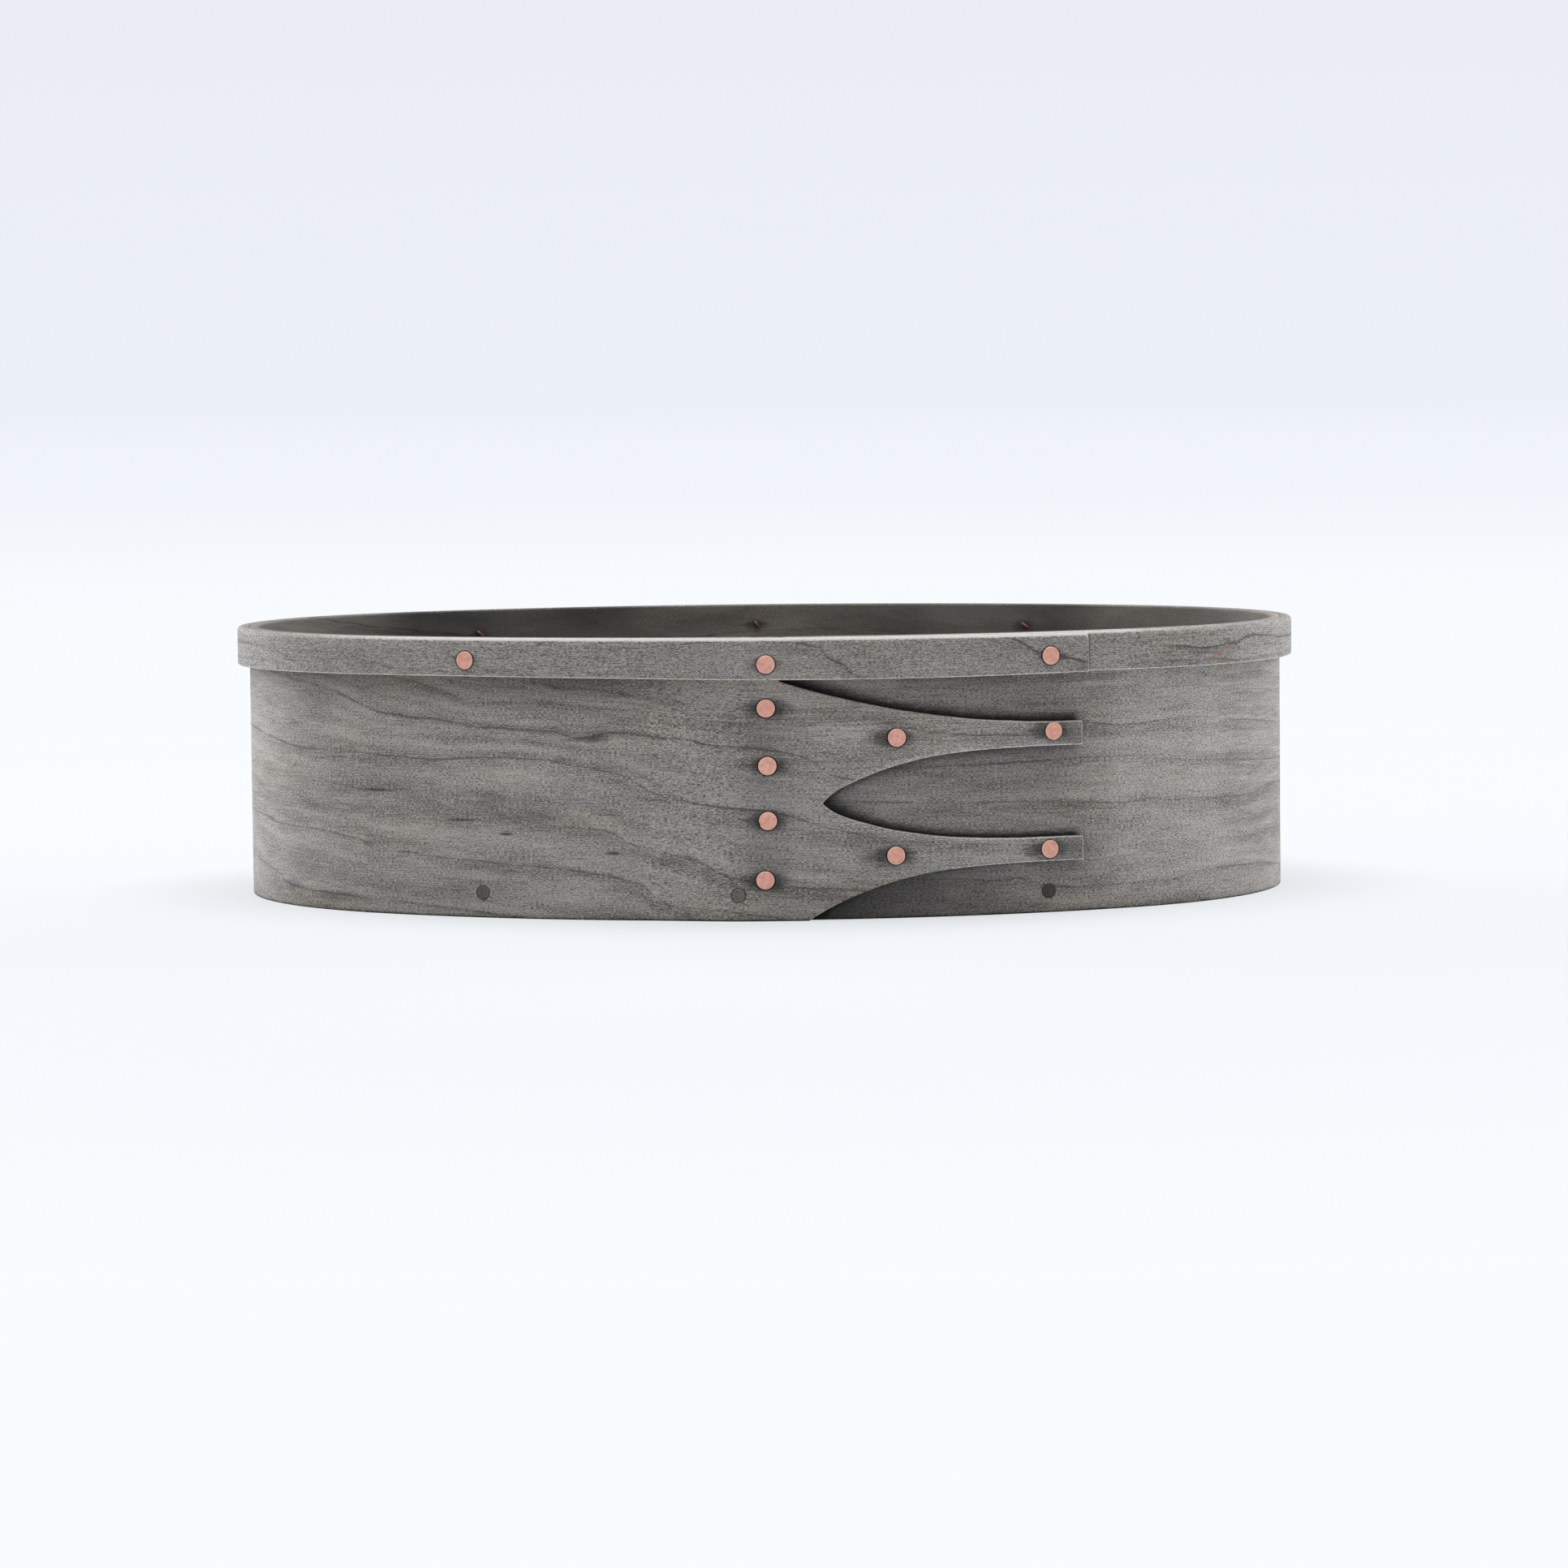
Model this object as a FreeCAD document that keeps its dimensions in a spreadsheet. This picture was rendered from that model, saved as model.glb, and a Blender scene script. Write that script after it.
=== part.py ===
import FreeCAD, Part
import math
import os
import Sketcher
from FreeCAD import Placement, Rotation, Vector

# Open oval bentwood box: a lapped wall band with two swallowtail fingers, a lapped rim band round
# the top, a pegged bottom board and clenched copper tacks.
# The origin lies under the middle of the oval, on the surface that the box stands on. +Z is up, +X
# runs along the length, and both laps are at the front, which faces -Y.
# A place on a band is given as "along": the arc length on the oval inside of the wall, from the
# middle of the front towards +X. One whole turn is the girth. A face is given by its offset, the
# distance that it stands outside of that oval.

doc = FreeCAD.newDocument("OvalBox")
sheet = doc.addObject("Spreadsheet::Sheet", "Sizes")

# Driving dimensions, in millimetres and degrees
sizes = {
    "insideLength": 241.3,
    "insideWidth": 177.8,
    "endRadius": 76.0,
    "boxHeight": 63.5,
    "wallThickness": 2.2,
    "rimThickness": 2.7,
    "rimHeight": 9.0,
    "rimTopEase": 0.8,
    "layerGap": 0.15,
    "bandGap": 0.1,
    "lapRampStart": -24.0,
    "lapRampEnd": 0.5,
    "wallInnerEnd": -16.0,
    "lapOuterEnd": 75.3,
    "rimInnerEnd": 7.6,
    "rimLevelStart": 7.6,
    "rimLevelEnd": 26.0,
    "fingerWidth": 5.4,
    "upperFingerHeight": 9.0,
    "lowerFingerHeight": 5.85,
    "crotchAlong": 15.8,
    "crotchHeight": -5.35,
    "crotchOpening": 2.0,
    "upperShoulderAlong": 6.6,
    "upperShoulderHeight": -0.85,
    "lowerShoulderAlong": 12.7,
    "boardThickness": 6.4,
    "boardRecess": 2.3,
    "boardGap": 0.1,
    "tackHeadDiameter": 4.2,
    "tackHeadProud": 0.25,
    "tackHeadSunk": 0.2,
    "tackShankDiameter": 1.3,
    "tackPointDiameter": 0.9,
    "tackClenchLength": 1.6,
    "tackClenchAngle": 225.0,
    "tackFit": 0.05,
    "pegDiameter": 3.2,
    "pegBite": 6.0,
    "pegLead": 0.4,
    "pegFit": 0.05,
}

# The sheet gives a height on the wall as a distance from one of these levels: rim is the middle of
# the rim, rimEdge its lower edge, board the middle of the board, boardTop its upper face, wall
# halfway between board and rim, and each finger has its own middle line
# Where each tack and peg sits, as uneven as on the hand-made box: the part of a turn to start from
# (0 front, 0.25 right end, 0.5 back, 0.75 left end), the arc length from there, the level and the
# height above it
places = {
    "wall_tack_1": (0, 3.7, "rimEdge", -6.8),
    "wall_tack_2": (0, 3.9, "wall", 3.2),
    "wall_tack_3": (0, 3.9, "wall", -9.1),
    "wall_tack_4": (0, 3.2, "boardTop", 0.5),
    "wall_tack_5": (0, 32.2, "upperFinger", 0.1),
    "wall_tack_6": (0, 31.8, "lowerFinger", -0.3),
    "wall_tack_7": (0, 68.2, "upperFinger", 0.6),
    "wall_tack_8": (0, 67.1, "lowerFinger", 0.0),
    "rim_tack_1": (0, -64.2, "rim", -0.6),
    "rim_tack_2": (0, 3.8, "rim", -1.4),
    "rim_tack_3": (0, 66.2, "rim", -0.65),
    "rim_tack_4": (0.25, 8.6, "rim", -0.4),
    "rim_tack_5": (0.5, -64.2, "rim", -0.4),
    "rim_tack_6": (0.5, 5.6, "rim", 0.1),
    "rim_tack_7": (0.5, 77.9, "rim", -1.0),
    "rim_tack_8": (0.75, 0.0, "rim", -0.7),
    "bottom_peg_1": (0, -61.9, "board", 0.15),
    "bottom_peg_2": (0, -2.7, "board", 0.35),
    "bottom_peg_3": (0, 67.8, "board", -0.6),
    "bottom_peg_4": (0.25, 0.0, "board", 0.0),
    "bottom_peg_5": (0.5, -65.0, "board", -0.1),
    "bottom_peg_6": (0.5, 0.0, "board", 0.1),
    "bottom_peg_7": (0.5, 65.0, "board", -0.2),
    "bottom_peg_8": (0.75, 0.0, "board", 0.0),
}


def aliasOf(node, ending):
    words = node.split("_")
    return words[0] + "".join(word.capitalize() for word in words[1:]) + ending


for node, (turn, along, level, height) in places.items():
    sizes[aliasOf(node, "Turn")] = turn
    sizes[aliasOf(node, "Along")] = along
    sizes[aliasOf(node, "Height")] = height

for row, (alias, number) in enumerate(sizes.items(), start=1):
    sheet.set("A%d" % row, alias)
    sheet.set("B%d" % row, str(number))
    sheet.setAlias("B%d" % row, alias)
doc.recompute()


def size(alias):
    return float(sheet.get(alias))


def valueOf(expression):
    return float(sheet.evalExpression(expression))


# The oval: two flat side arcs and two round end arcs that meet tangentially, so that every face of
# the bands is a true offset of it
halfLength = size("insideLength") / 2
halfWidth = size("insideWidth") / 2
endRadius = size("endRadius")
endShift = halfLength - endRadius
sideRadius = (endShift ** 2 + halfWidth ** 2 - endRadius ** 2) / (2 * (halfWidth - endRadius))
sideShift = sideRadius - halfWidth
sideReach = math.asin(endShift / (sideRadius - endRadius))
endReach = math.pi / 2 - sideReach
sideLength = 2 * sideReach * sideRadius
endLength = 2 * endReach * endRadius
girth = 2 * (sideLength + endLength)

# Each arc as centre, radius, direction of its middle turned from -Y towards +X, place of its middle
ovalArcs = [
    (Vector(0, sideShift, 0), sideRadius, 0.0, 0.0),
    (Vector(endShift, 0, 0), endRadius, math.pi / 2, girth / 4),
    (Vector(0, -sideShift, 0), sideRadius, math.pi, girth / 2),
    (Vector(-endShift, 0, 0), endRadius, 1.5 * math.pi, girth * 3 / 4),
]


def arcAt(along):
    # The arc that a place lies on, and the direction in which the wall faces there
    place = (along + sideLength / 2) % girth - sideLength / 2
    for centre, radius, middleTurn, middleAlong in ovalArcs:
        reach = sideLength / 2 if radius == sideRadius else endLength / 2
        if place <= middleAlong + reach:
            return centre, radius, middleTurn + (place - middleAlong) / radius
    raise ValueError("no arc at %.3f" % along)


def planPoint(along, offset):
    centre, radius, turn = arcAt(along)
    return centre + Vector(math.sin(turn), -math.cos(turn), 0) * (radius + offset)


def outwardFrame(along, offset, height):
    # Local X runs along the wall, local Y up and local Z out of the box
    turn = arcAt(along)[2]
    tangent = Vector(math.cos(turn), math.sin(turn), 0)
    outward = Vector(math.sin(turn), -math.cos(turn), 0)
    base = planPoint(along, offset) + Vector(0, 0, height)
    return Placement(base, Rotation(tangent, Vector(0, 0, 1), outward, "ZXY"))


# How far the layers of a lap stand off
wallThickness = size("wallThickness")
rimThickness = size("rimThickness")
layerGap = size("layerGap")
boxHeight = size("boxHeight")
rimBottom = boxHeight - size("rimHeight")
boardTop = size("boardRecess") + size("boardThickness")
wallMiddle = (boardTop + rimBottom) / 2
levels = {
    "rim": boxHeight - size("rimHeight") / 2,
    "rimEdge": rimBottom,
    "board": boardTop - size("boardThickness") / 2,
    "boardTop": boardTop,
    "wall": wallMiddle,
    "upperFinger": wallMiddle + size("upperFingerHeight"),
    "lowerFinger": boardTop + size("lowerFingerHeight"),
}
rampStart = size("lapRampStart")
rampEnd = size("lapRampEnd")
lapEnd = size("lapOuterEnd")
rimInside = wallThickness + size("bandGap")
layerStep = wallThickness + layerGap


def smoothStep(start, end, place):
    part = min(max((place - start) / (end - start), 0.0), 1.0)
    return part * part * (3 - 2 * part)


def wallLift(along):
    # The wall's outer layer climbs over its feathered inner end
    return layerStep * smoothStep(rampStart, rampEnd, along)


def rimLift(along):
    # The rim's outer layer climbs with the wall, then over the rim's own thicker inner layer
    levelling = smoothStep(size("rimLevelStart"), size("rimLevelEnd"), along)
    return wallLift(along) + (rimThickness - wallThickness) * levelling


def inLap(along):
    return rampStart < along < lapEnd


def wallFace(along):
    return wallThickness + (wallLift(along) if inLap(along) else 0)


def rimFace(along):
    return rimInside + rimThickness + (rimLift(along) if inLap(along) else 0)


# Plan curves of the bands
def arcEdges(offset, start, end):
    # True arcs, one for each arc of the oval that the stretch runs over
    corner = sideLength / 2
    corners = [turn * girth + step for turn in range(3)
               for step in (-corner, corner, girth / 2 - corner, girth / 2 + corner)]
    joints = [start] + sorted(place for place in corners if start < place < end) + [end]
    edges = []
    for first, last in zip(joints, joints[1:]):
        middle = planPoint((first + last) / 2, offset)
        edges.append(Part.Arc(planPoint(first, offset), middle, planPoint(last, offset)).toShape())
    return edges


slopeSpacing = 1.3


def slopeEdge(offsetAt, start, end):
    # A face that climbs from one offset to another, through evenly spaced points
    count = math.ceil((end - start) / slopeSpacing)
    spots = [start + (end - start) * index / count for index in range(count + 1)]
    nudge = slopeSpacing / 1000
    tangents = []
    for spot in (start, end):
        ahead = planPoint(spot + nudge, offsetAt(spot + nudge))
        behind = planPoint(spot - nudge, offsetAt(spot - nudge))
        tangents.append((ahead - behind) / (2 * nudge))
    curve = Part.BSplineCurve()
    curve.interpolate(
        Points=[planPoint(spot, offsetAt(spot)) for spot in spots],
        InitialTangent=tangents[0],
        FinalTangent=tangents[1],
    )
    return curve.toShape()


def straightEdge(along, firstOffset, lastOffset):
    return Part.makeLine(planPoint(along, firstOffset), planPoint(along, lastOffset))


def raisedSolid(edges, bottom, top):
    face = Part.Face(Part.Wire(Part.__sortEdges__(edges)))
    solid = face.extrude(Vector(0, 0, top - bottom))
    solid.translate(Vector(0, 0, bottom))
    return solid


# Wall band: one strip that starts at its feathered inner end, goes once round the oval, climbs over
# that end and runs on as the outer layer of the lap
def wallStrip():
    innerEnd = size("wallInnerEnd")

    def lift(along):
        return wallLift(along - girth)

    def cover(along):
        return wallThickness + wallLift(along - girth)

    def feather(along):
        return wallLift(along) - layerGap

    edges = [straightEdge(innerEnd, 0, feather(innerEnd))]
    edges += arcEdges(0, innerEnd, girth + rampStart)
    edges += [slopeEdge(lift, girth + rampStart, girth + rampEnd)]
    edges += arcEdges(layerStep, girth + rampEnd, girth + lapEnd)
    edges += [straightEdge(lapEnd, layerStep, layerStep + wallThickness)]
    edges += arcEdges(layerStep + wallThickness, girth + rampEnd, girth + lapEnd)
    edges += [slopeEdge(cover, girth + rampStart, girth + rampEnd)]
    edges += arcEdges(wallThickness, rampEnd, girth + rampStart)
    edges += [slopeEdge(feather, innerEnd, rampEnd)]
    return raisedSolid(edges, 0, boxHeight)


# Swallowtail fingers: each edge sweeps from a root on the lap to a slim square tip, along a power
# curve. Between the fingers both edges start at one point, the crotch, and open quickly there. The
# waste round the fingers is cut from the outer layer alone.
fingerHalf = size("fingerWidth") / 2
outerFace = layerStep + wallThickness
sweepPower = 3.5
shoulderPower = 2.2
sweepPoints = 14


def sweptEdge(tipHeight, rootAlong, rootHeight, power, startHeight):
    points = []
    for index in range(sweepPoints + 1):
        part = index / sweepPoints
        along = rootAlong + (lapEnd - rootAlong) * part
        height = tipHeight + (rootHeight - tipHeight) * (1 - part) ** power
        if index == 0:
            height = startHeight
        radius = sideRadius + outerFace
        points.append(Vector(radius * math.sin(along / sideRadius), 0, height))
    curve = Part.BSplineCurve()
    curve.interpolate(points)
    return curve


def wastePiece(curves, corners):
    # The corners run on from the end of the last curve, back to the start of the first
    edges = [curve.toShape() for curve in curves]
    edges += [Part.makeLine(first, last) for first, last in zip(corners, corners[1:])]
    face = Part.Face(Part.Wire(Part.__sortEdges__(edges)))
    return face.extrude(Vector(0, -halfWidth * 2, 0))


def fingerWaste():
    upper = levels["upperFinger"]
    lower = levels["lowerFinger"]
    crotch = size("crotchAlong")
    crotchHeight = levels["wall"] + size("crotchHeight")
    opening = size("crotchOpening") / 2
    shoulder = levels["rimEdge"] + size("upperShoulderHeight")
    shoulderAlong = size("upperShoulderAlong")
    aboveUpper = sweptEdge(upper + fingerHalf, shoulderAlong, shoulder, shoulderPower, shoulder)
    belowUpper = sweptEdge(upper - fingerHalf, crotch, crotchHeight + opening, sweepPower, crotchHeight)
    aboveLower = sweptEdge(lower + fingerHalf, crotch, crotchHeight - opening, sweepPower, crotchHeight)
    belowLower = sweptEdge(lower - fingerHalf, size("lowerShoulderAlong"), 0, sweepPower, 0)
    tip = aboveUpper.EndPoint.x
    beyond = tip + wallThickness
    over = boxHeight + wallThickness
    under = -wallThickness
    top = wastePiece([aboveUpper], [
        aboveUpper.EndPoint,
        Vector(beyond, 0, upper + fingerHalf),
        Vector(beyond, 0, over),
        Vector(aboveUpper.StartPoint.x, 0, over),
        aboveUpper.StartPoint,
    ])
    middle = wastePiece([belowUpper, aboveLower], [
        belowUpper.EndPoint,
        Vector(beyond, 0, upper - fingerHalf),
        Vector(beyond, 0, lower + fingerHalf),
        aboveLower.EndPoint,
    ])
    bottom = wastePiece([belowLower], [
        belowLower.EndPoint,
        Vector(beyond, 0, lower - fingerHalf),
        Vector(beyond, 0, under),
        Vector(belowLower.StartPoint.x, 0, under),
        belowLower.StartPoint,
    ])
    # Only what lies outside of the gap between the two layers is taken away
    depth = Vector(0, 0, under)
    outer = Part.makeCylinder(sideRadius + outerFace + wallThickness, over - under, depth)
    inner = Part.makeCylinder(sideRadius + wallThickness + layerGap / 2, over - under, depth)
    shell = outer.cut(inner)
    shell.translate(Vector(0, sideShift, 0))
    return [piece.common(shell) for piece in (top, middle, bottom)]


# Rim band: it starts square beside the edge of the wall's outer layer, goes once round the wall,
# climbs over the wall's lap and over its own inner end, and ends square above the finger tips
def rimStrip():
    innerEnd = size("rimInnerEnd")
    levelEnd = size("rimLevelEnd")

    def inside(along):
        return rimInside + rimLift(along - girth)

    def outside(along):
        return rimInside + rimThickness + rimLift(along - girth)

    def under(along):
        return rimInside + rimLift(along) - layerGap

    levelStart = size("rimLevelStart")
    levelled = rimInside + rimThickness + layerGap
    edges = [straightEdge(innerEnd, rimInside, under(innerEnd))]
    edges += arcEdges(rimInside, innerEnd, girth + rampStart)
    edges += [slopeEdge(inside, girth + rampStart, girth + rampEnd)]
    edges += arcEdges(rimInside + layerStep, girth + rampEnd, girth + levelStart)
    edges += [slopeEdge(inside, girth + levelStart, girth + levelEnd)]
    edges += arcEdges(levelled, girth + levelEnd, girth + lapEnd)
    edges += [straightEdge(lapEnd, levelled, levelled + rimThickness)]
    edges += arcEdges(levelled + rimThickness, girth + levelEnd, girth + lapEnd)
    edges += [slopeEdge(outside, girth + levelStart, girth + levelEnd)]
    edges += arcEdges(rimInside + layerStep + rimThickness, girth + rampEnd, girth + levelStart)
    edges += [slopeEdge(outside, girth + rampStart, girth + rampEnd)]
    edges += arcEdges(rimInside + rimThickness, levelEnd, girth + rampStart)
    edges += [slopeEdge(under, innerEnd, levelEnd)]
    return raisedSolid(edges, rimBottom, boxHeight)


def rimEnvelope():
    # A solid oval out to the rim's outer face, with its top edge eased: what of the rim lies inside
    # of it has the worn, rounded top edge
    levelStart = size("rimLevelStart")
    levelEnd = size("rimLevelEnd")
    levelled = rimInside + rimThickness + layerGap

    def outside(along):
        return rimInside + rimThickness + rimLift(along - girth)

    edges = arcEdges(rimInside + rimThickness, lapEnd, girth + rampStart)
    edges += [slopeEdge(outside, girth + rampStart, girth + rampEnd)]
    edges += arcEdges(rimInside + layerStep + rimThickness, girth + rampEnd, girth + levelStart)
    edges += [slopeEdge(outside, girth + levelStart, girth + levelEnd)]
    edges += arcEdges(levelled + rimThickness, girth + levelEnd, girth + lapEnd)
    edges += [straightEdge(lapEnd, rimInside + rimThickness, levelled + rimThickness)]
    solid = raisedSolid(edges, rimBottom - rimThickness, boxHeight)
    endFace = planPoint(lapEnd, levelled)
    topEdges = []
    for edge in solid.Edges:
        low = min(vertex.Z for vertex in edge.Vertexes)
        isEndStep = (edge.CenterOfMass - endFace - Vector(0, 0, boxHeight)).Length < rimThickness
        if low > boxHeight - 0.001 and not isEndStep:
            topEdges.append(edge)
    return solid.makeFillet(size("rimTopEase"), topEdges)


# Places of the tacks and pegs
def placeOf(node):
    turn = size(aliasOf(node, "Turn"))
    along = turn * girth + size(aliasOf(node, "Along"))
    return along, levels[places[node][2]] + size(aliasOf(node, "Height"))


def faceOf(node):
    along = placeOf(node)[0]
    if node.startswith("rim"):
        return rimFace(along)
    if node.startswith("bottom") and along > size("lowerShoulderAlong"):
        # Below the lower finger the outer layer is cut away
        return wallThickness
    return wallFace(along)


def frameOf(node):
    along, height = placeOf(node)
    return outwardFrame(along, faceOf(node), height)


# How far a hole's cutter runs on past the faces
overrun = 1.0


def tackHole(node):
    # A shallow seat for the head and a tapered hole for the shank, right through to the inside
    fit = size("tackFit")
    grip = faceOf(node)
    headRadius = size("tackHeadDiameter") / 2 + fit
    shankRadius = size("tackShankDiameter") / 2 + fit
    pointRadius = size("tackPointDiameter") / 2 + fit
    sunk = size("tackHeadSunk") + fit
    taper = (shankRadius - pointRadius) / grip
    seat = Part.makeCylinder(headRadius, sunk + overrun, Vector(0, 0, -sunk))
    shank = Part.makeCone(
        pointRadius - taper * overrun, shankRadius, grip + overrun, Vector(0, 0, -grip - overrun)
    )
    hole = seat.fuse(shank)
    hole.Placement = frameOf(node)
    return hole


def pegHole(node):
    fit = size("pegFit")
    depth = faceOf(node) + size("boardGap") + size("pegBite") + fit
    hole = Part.makeCylinder(size("pegDiameter") / 2 + fit, depth + overrun, Vector(0, 0, -depth))
    hole.Placement = frameOf(node)
    return hole


wallTacks = [node for node in places if node.startswith("wall_tack")]
rimTacks = [node for node in places if node.startswith("rim_tack")]
pegs = [node for node in places if node.startswith("bottom_peg")]


def bandFeature(node, shape):
    feature = doc.addObject("Part::Feature", node)
    feature.Shape = shape
    feature.Placement = Placement()
    feature.Label = node
    return feature


def drilled(shape, holes):
    # Each hole is cut by itself and has to take some wood away
    for hole in holes:
        volume = shape.Volume
        shape = shape.cut(hole)
        if shape.Volume > volume - 1:
            raise RuntimeError("a hole at %s took nothing away" % hole.Placement.Base)
    return shape


rimHoles = [tackHole(node) for node in rimTacks]
wallHoles = [tackHole(node) for node in wallTacks] + rimHoles + [pegHole(node) for node in pegs]
wallBand = bandFeature("wall_band", drilled(wallStrip().cut(fingerWaste()), wallHoles))
rimBand = bandFeature("rim_band", drilled(rimStrip().common(rimEnvelope()), rimHoles))


# Sketches bound to the sheet
def planeSketch(body, name, planeRole):
    sketch = body.newObject("Sketcher::SketchObject", name)
    plane = [item for item in body.Origin.OriginFeatures if item.Role == planeRole][0]
    sketch.AttachmentSupport = [(plane, "")]
    sketch.MapMode = "FlatFace"
    return sketch


def bind(sketch, constraint, expression):
    index = sketch.addConstraint(constraint)
    sketch.setExpression("Constraints[%d]" % index, expression)


def pinPoint(sketch, item, spot, xText, yText):
    # Ties one point of the sketch to the origin by two distances from the sheet
    for kind, text, axis in (("DistanceX", xText, -2), ("DistanceY", yText, -1)):
        value = valueOf(text)
        if abs(value) < 1e-9:
            sketch.addConstraint(Sketcher.Constraint("PointOnObject", item, spot, axis))
        elif value > 0:
            bind(sketch, Sketcher.Constraint(kind, -1, 1, item, spot, value), text)
        else:
            bind(sketch, Sketcher.Constraint(kind, item, spot, -1, 1, -value), "-(%s)" % text)


def polygonSketch(body, name, planeRole, corners):
    sketch = planeSketch(body, name, planeRole)
    points = [Vector(valueOf(xText), valueOf(yText), 0) for xText, yText in corners]
    count = len(points)
    for index in range(count):
        sketch.addGeometry(Part.LineSegment(points[index], points[(index + 1) % count]), False)
    for index in range(count):
        sketch.addConstraint(Sketcher.Constraint("Coincident", index, 2, (index + 1) % count, 1))
    for index, (xText, yText) in enumerate(corners):
        pinPoint(sketch, index, 1, xText, yText)
    return sketch


def turnedFeature(body, name, sketch):
    feature = body.newObject("PartDesign::Revolution", name)
    feature.Profile = sketch
    feature.ReferenceAxis = (sketch, ["V_Axis"])
    feature.Angle = 360
    return feature


# Bottom board: a four-arc oval with a small gap to the wall, raised a little off the table, with a
# blind hole for each peg
def boardBody():
    body = doc.addObject("PartDesign::Body", "BoardBlank")
    sketch = planeSketch(body, "BoardOutline", "XY_Plane")
    gap = size("boardGap")
    up = Vector(0, 0, 1)
    for centre, radius, turn, _ in ovalArcs[1:] + ovalArcs[:1]:
        reach = sideReach if radius == sideRadius else endReach
        circle = Part.Circle(centre, up, radius - gap)
        middle = turn - math.pi / 2
        sketch.addGeometry(Part.ArcOfCircle(circle, middle - reach, middle + reach), False)
    right, back, left, front = range(4)
    sketch.addConstraint(Sketcher.Constraint("Tangent", right, 2, back, 1))
    sketch.addConstraint(Sketcher.Constraint("Tangent", back, 2, left, 1))
    sketch.addConstraint(Sketcher.Constraint("Tangent", left, 2, front, 1))
    sketch.addConstraint(Sketcher.Constraint("Coincident", front, 2, right, 1))
    for item, axis in ((right, -1), (back, -2), (front, -2)):
        sketch.addConstraint(Sketcher.Constraint("PointOnObject", item, 3, axis))
    sketch.addConstraint(Sketcher.Constraint("Equal", back, front))
    shiftText = "(Sizes.insideLength / 2 - Sizes.endRadius)"
    halfText = "(Sizes.insideWidth / 2)"
    sideText = "((%s * %s + %s * %s - Sizes.endRadius * Sizes.endRadius) / (2 * (%s - Sizes.endRadius)))"
    sideText = sideText % (shiftText, shiftText, halfText, halfText, halfText)
    bind(sketch, Sketcher.Constraint("Radius", right, endRadius - gap),
         "Sizes.endRadius - Sizes.boardGap")
    bind(sketch, Sketcher.Constraint("Radius", back, sideRadius - gap), sideText + " - Sizes.boardGap")
    bind(sketch, Sketcher.Constraint("DistanceX", -1, 1, right, 3, endShift), shiftText)
    pad = body.newObject("PartDesign::Pad", "BoardPad")
    pad.Profile = sketch
    pad.setExpression("Length", "Sizes.boardThickness")
    body.setExpression("Placement.Base.z", "Sizes.boardRecess")
    return body


def boardFeature():
    blank = boardBody()
    holes = doc.addObject("Part::Feature", "BoardHoles")
    holes.Shape = Part.makeCompound([pegHole(node) for node in pegs])
    holes.Placement = Placement()
    board = doc.addObject("Part::Cut", "bottom_board")
    board.Base = blank
    board.Tool = holes
    board.Label = "bottom_board"
    return board


bottomBoard = boardFeature()


# A tack: a flat head, half sunk in its seat, a tapered shank and a point that is bent over and lies
# on the inside of the wall. Local Z points out of the box and the wood's outer face is at Z = 0.
def gripText(node):
    along = placeOf(node)[0]
    text = "Sizes.wallThickness"
    if inLap(along):
        text += " + Sizes.wallThickness + Sizes.layerGap"
    if node.startswith("rim"):
        text += " + Sizes.bandGap + Sizes.rimThickness"
        if rimLift(along) > layerStep and inLap(along):
            text += " + Sizes.rimThickness - Sizes.wallThickness"
    return text


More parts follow.
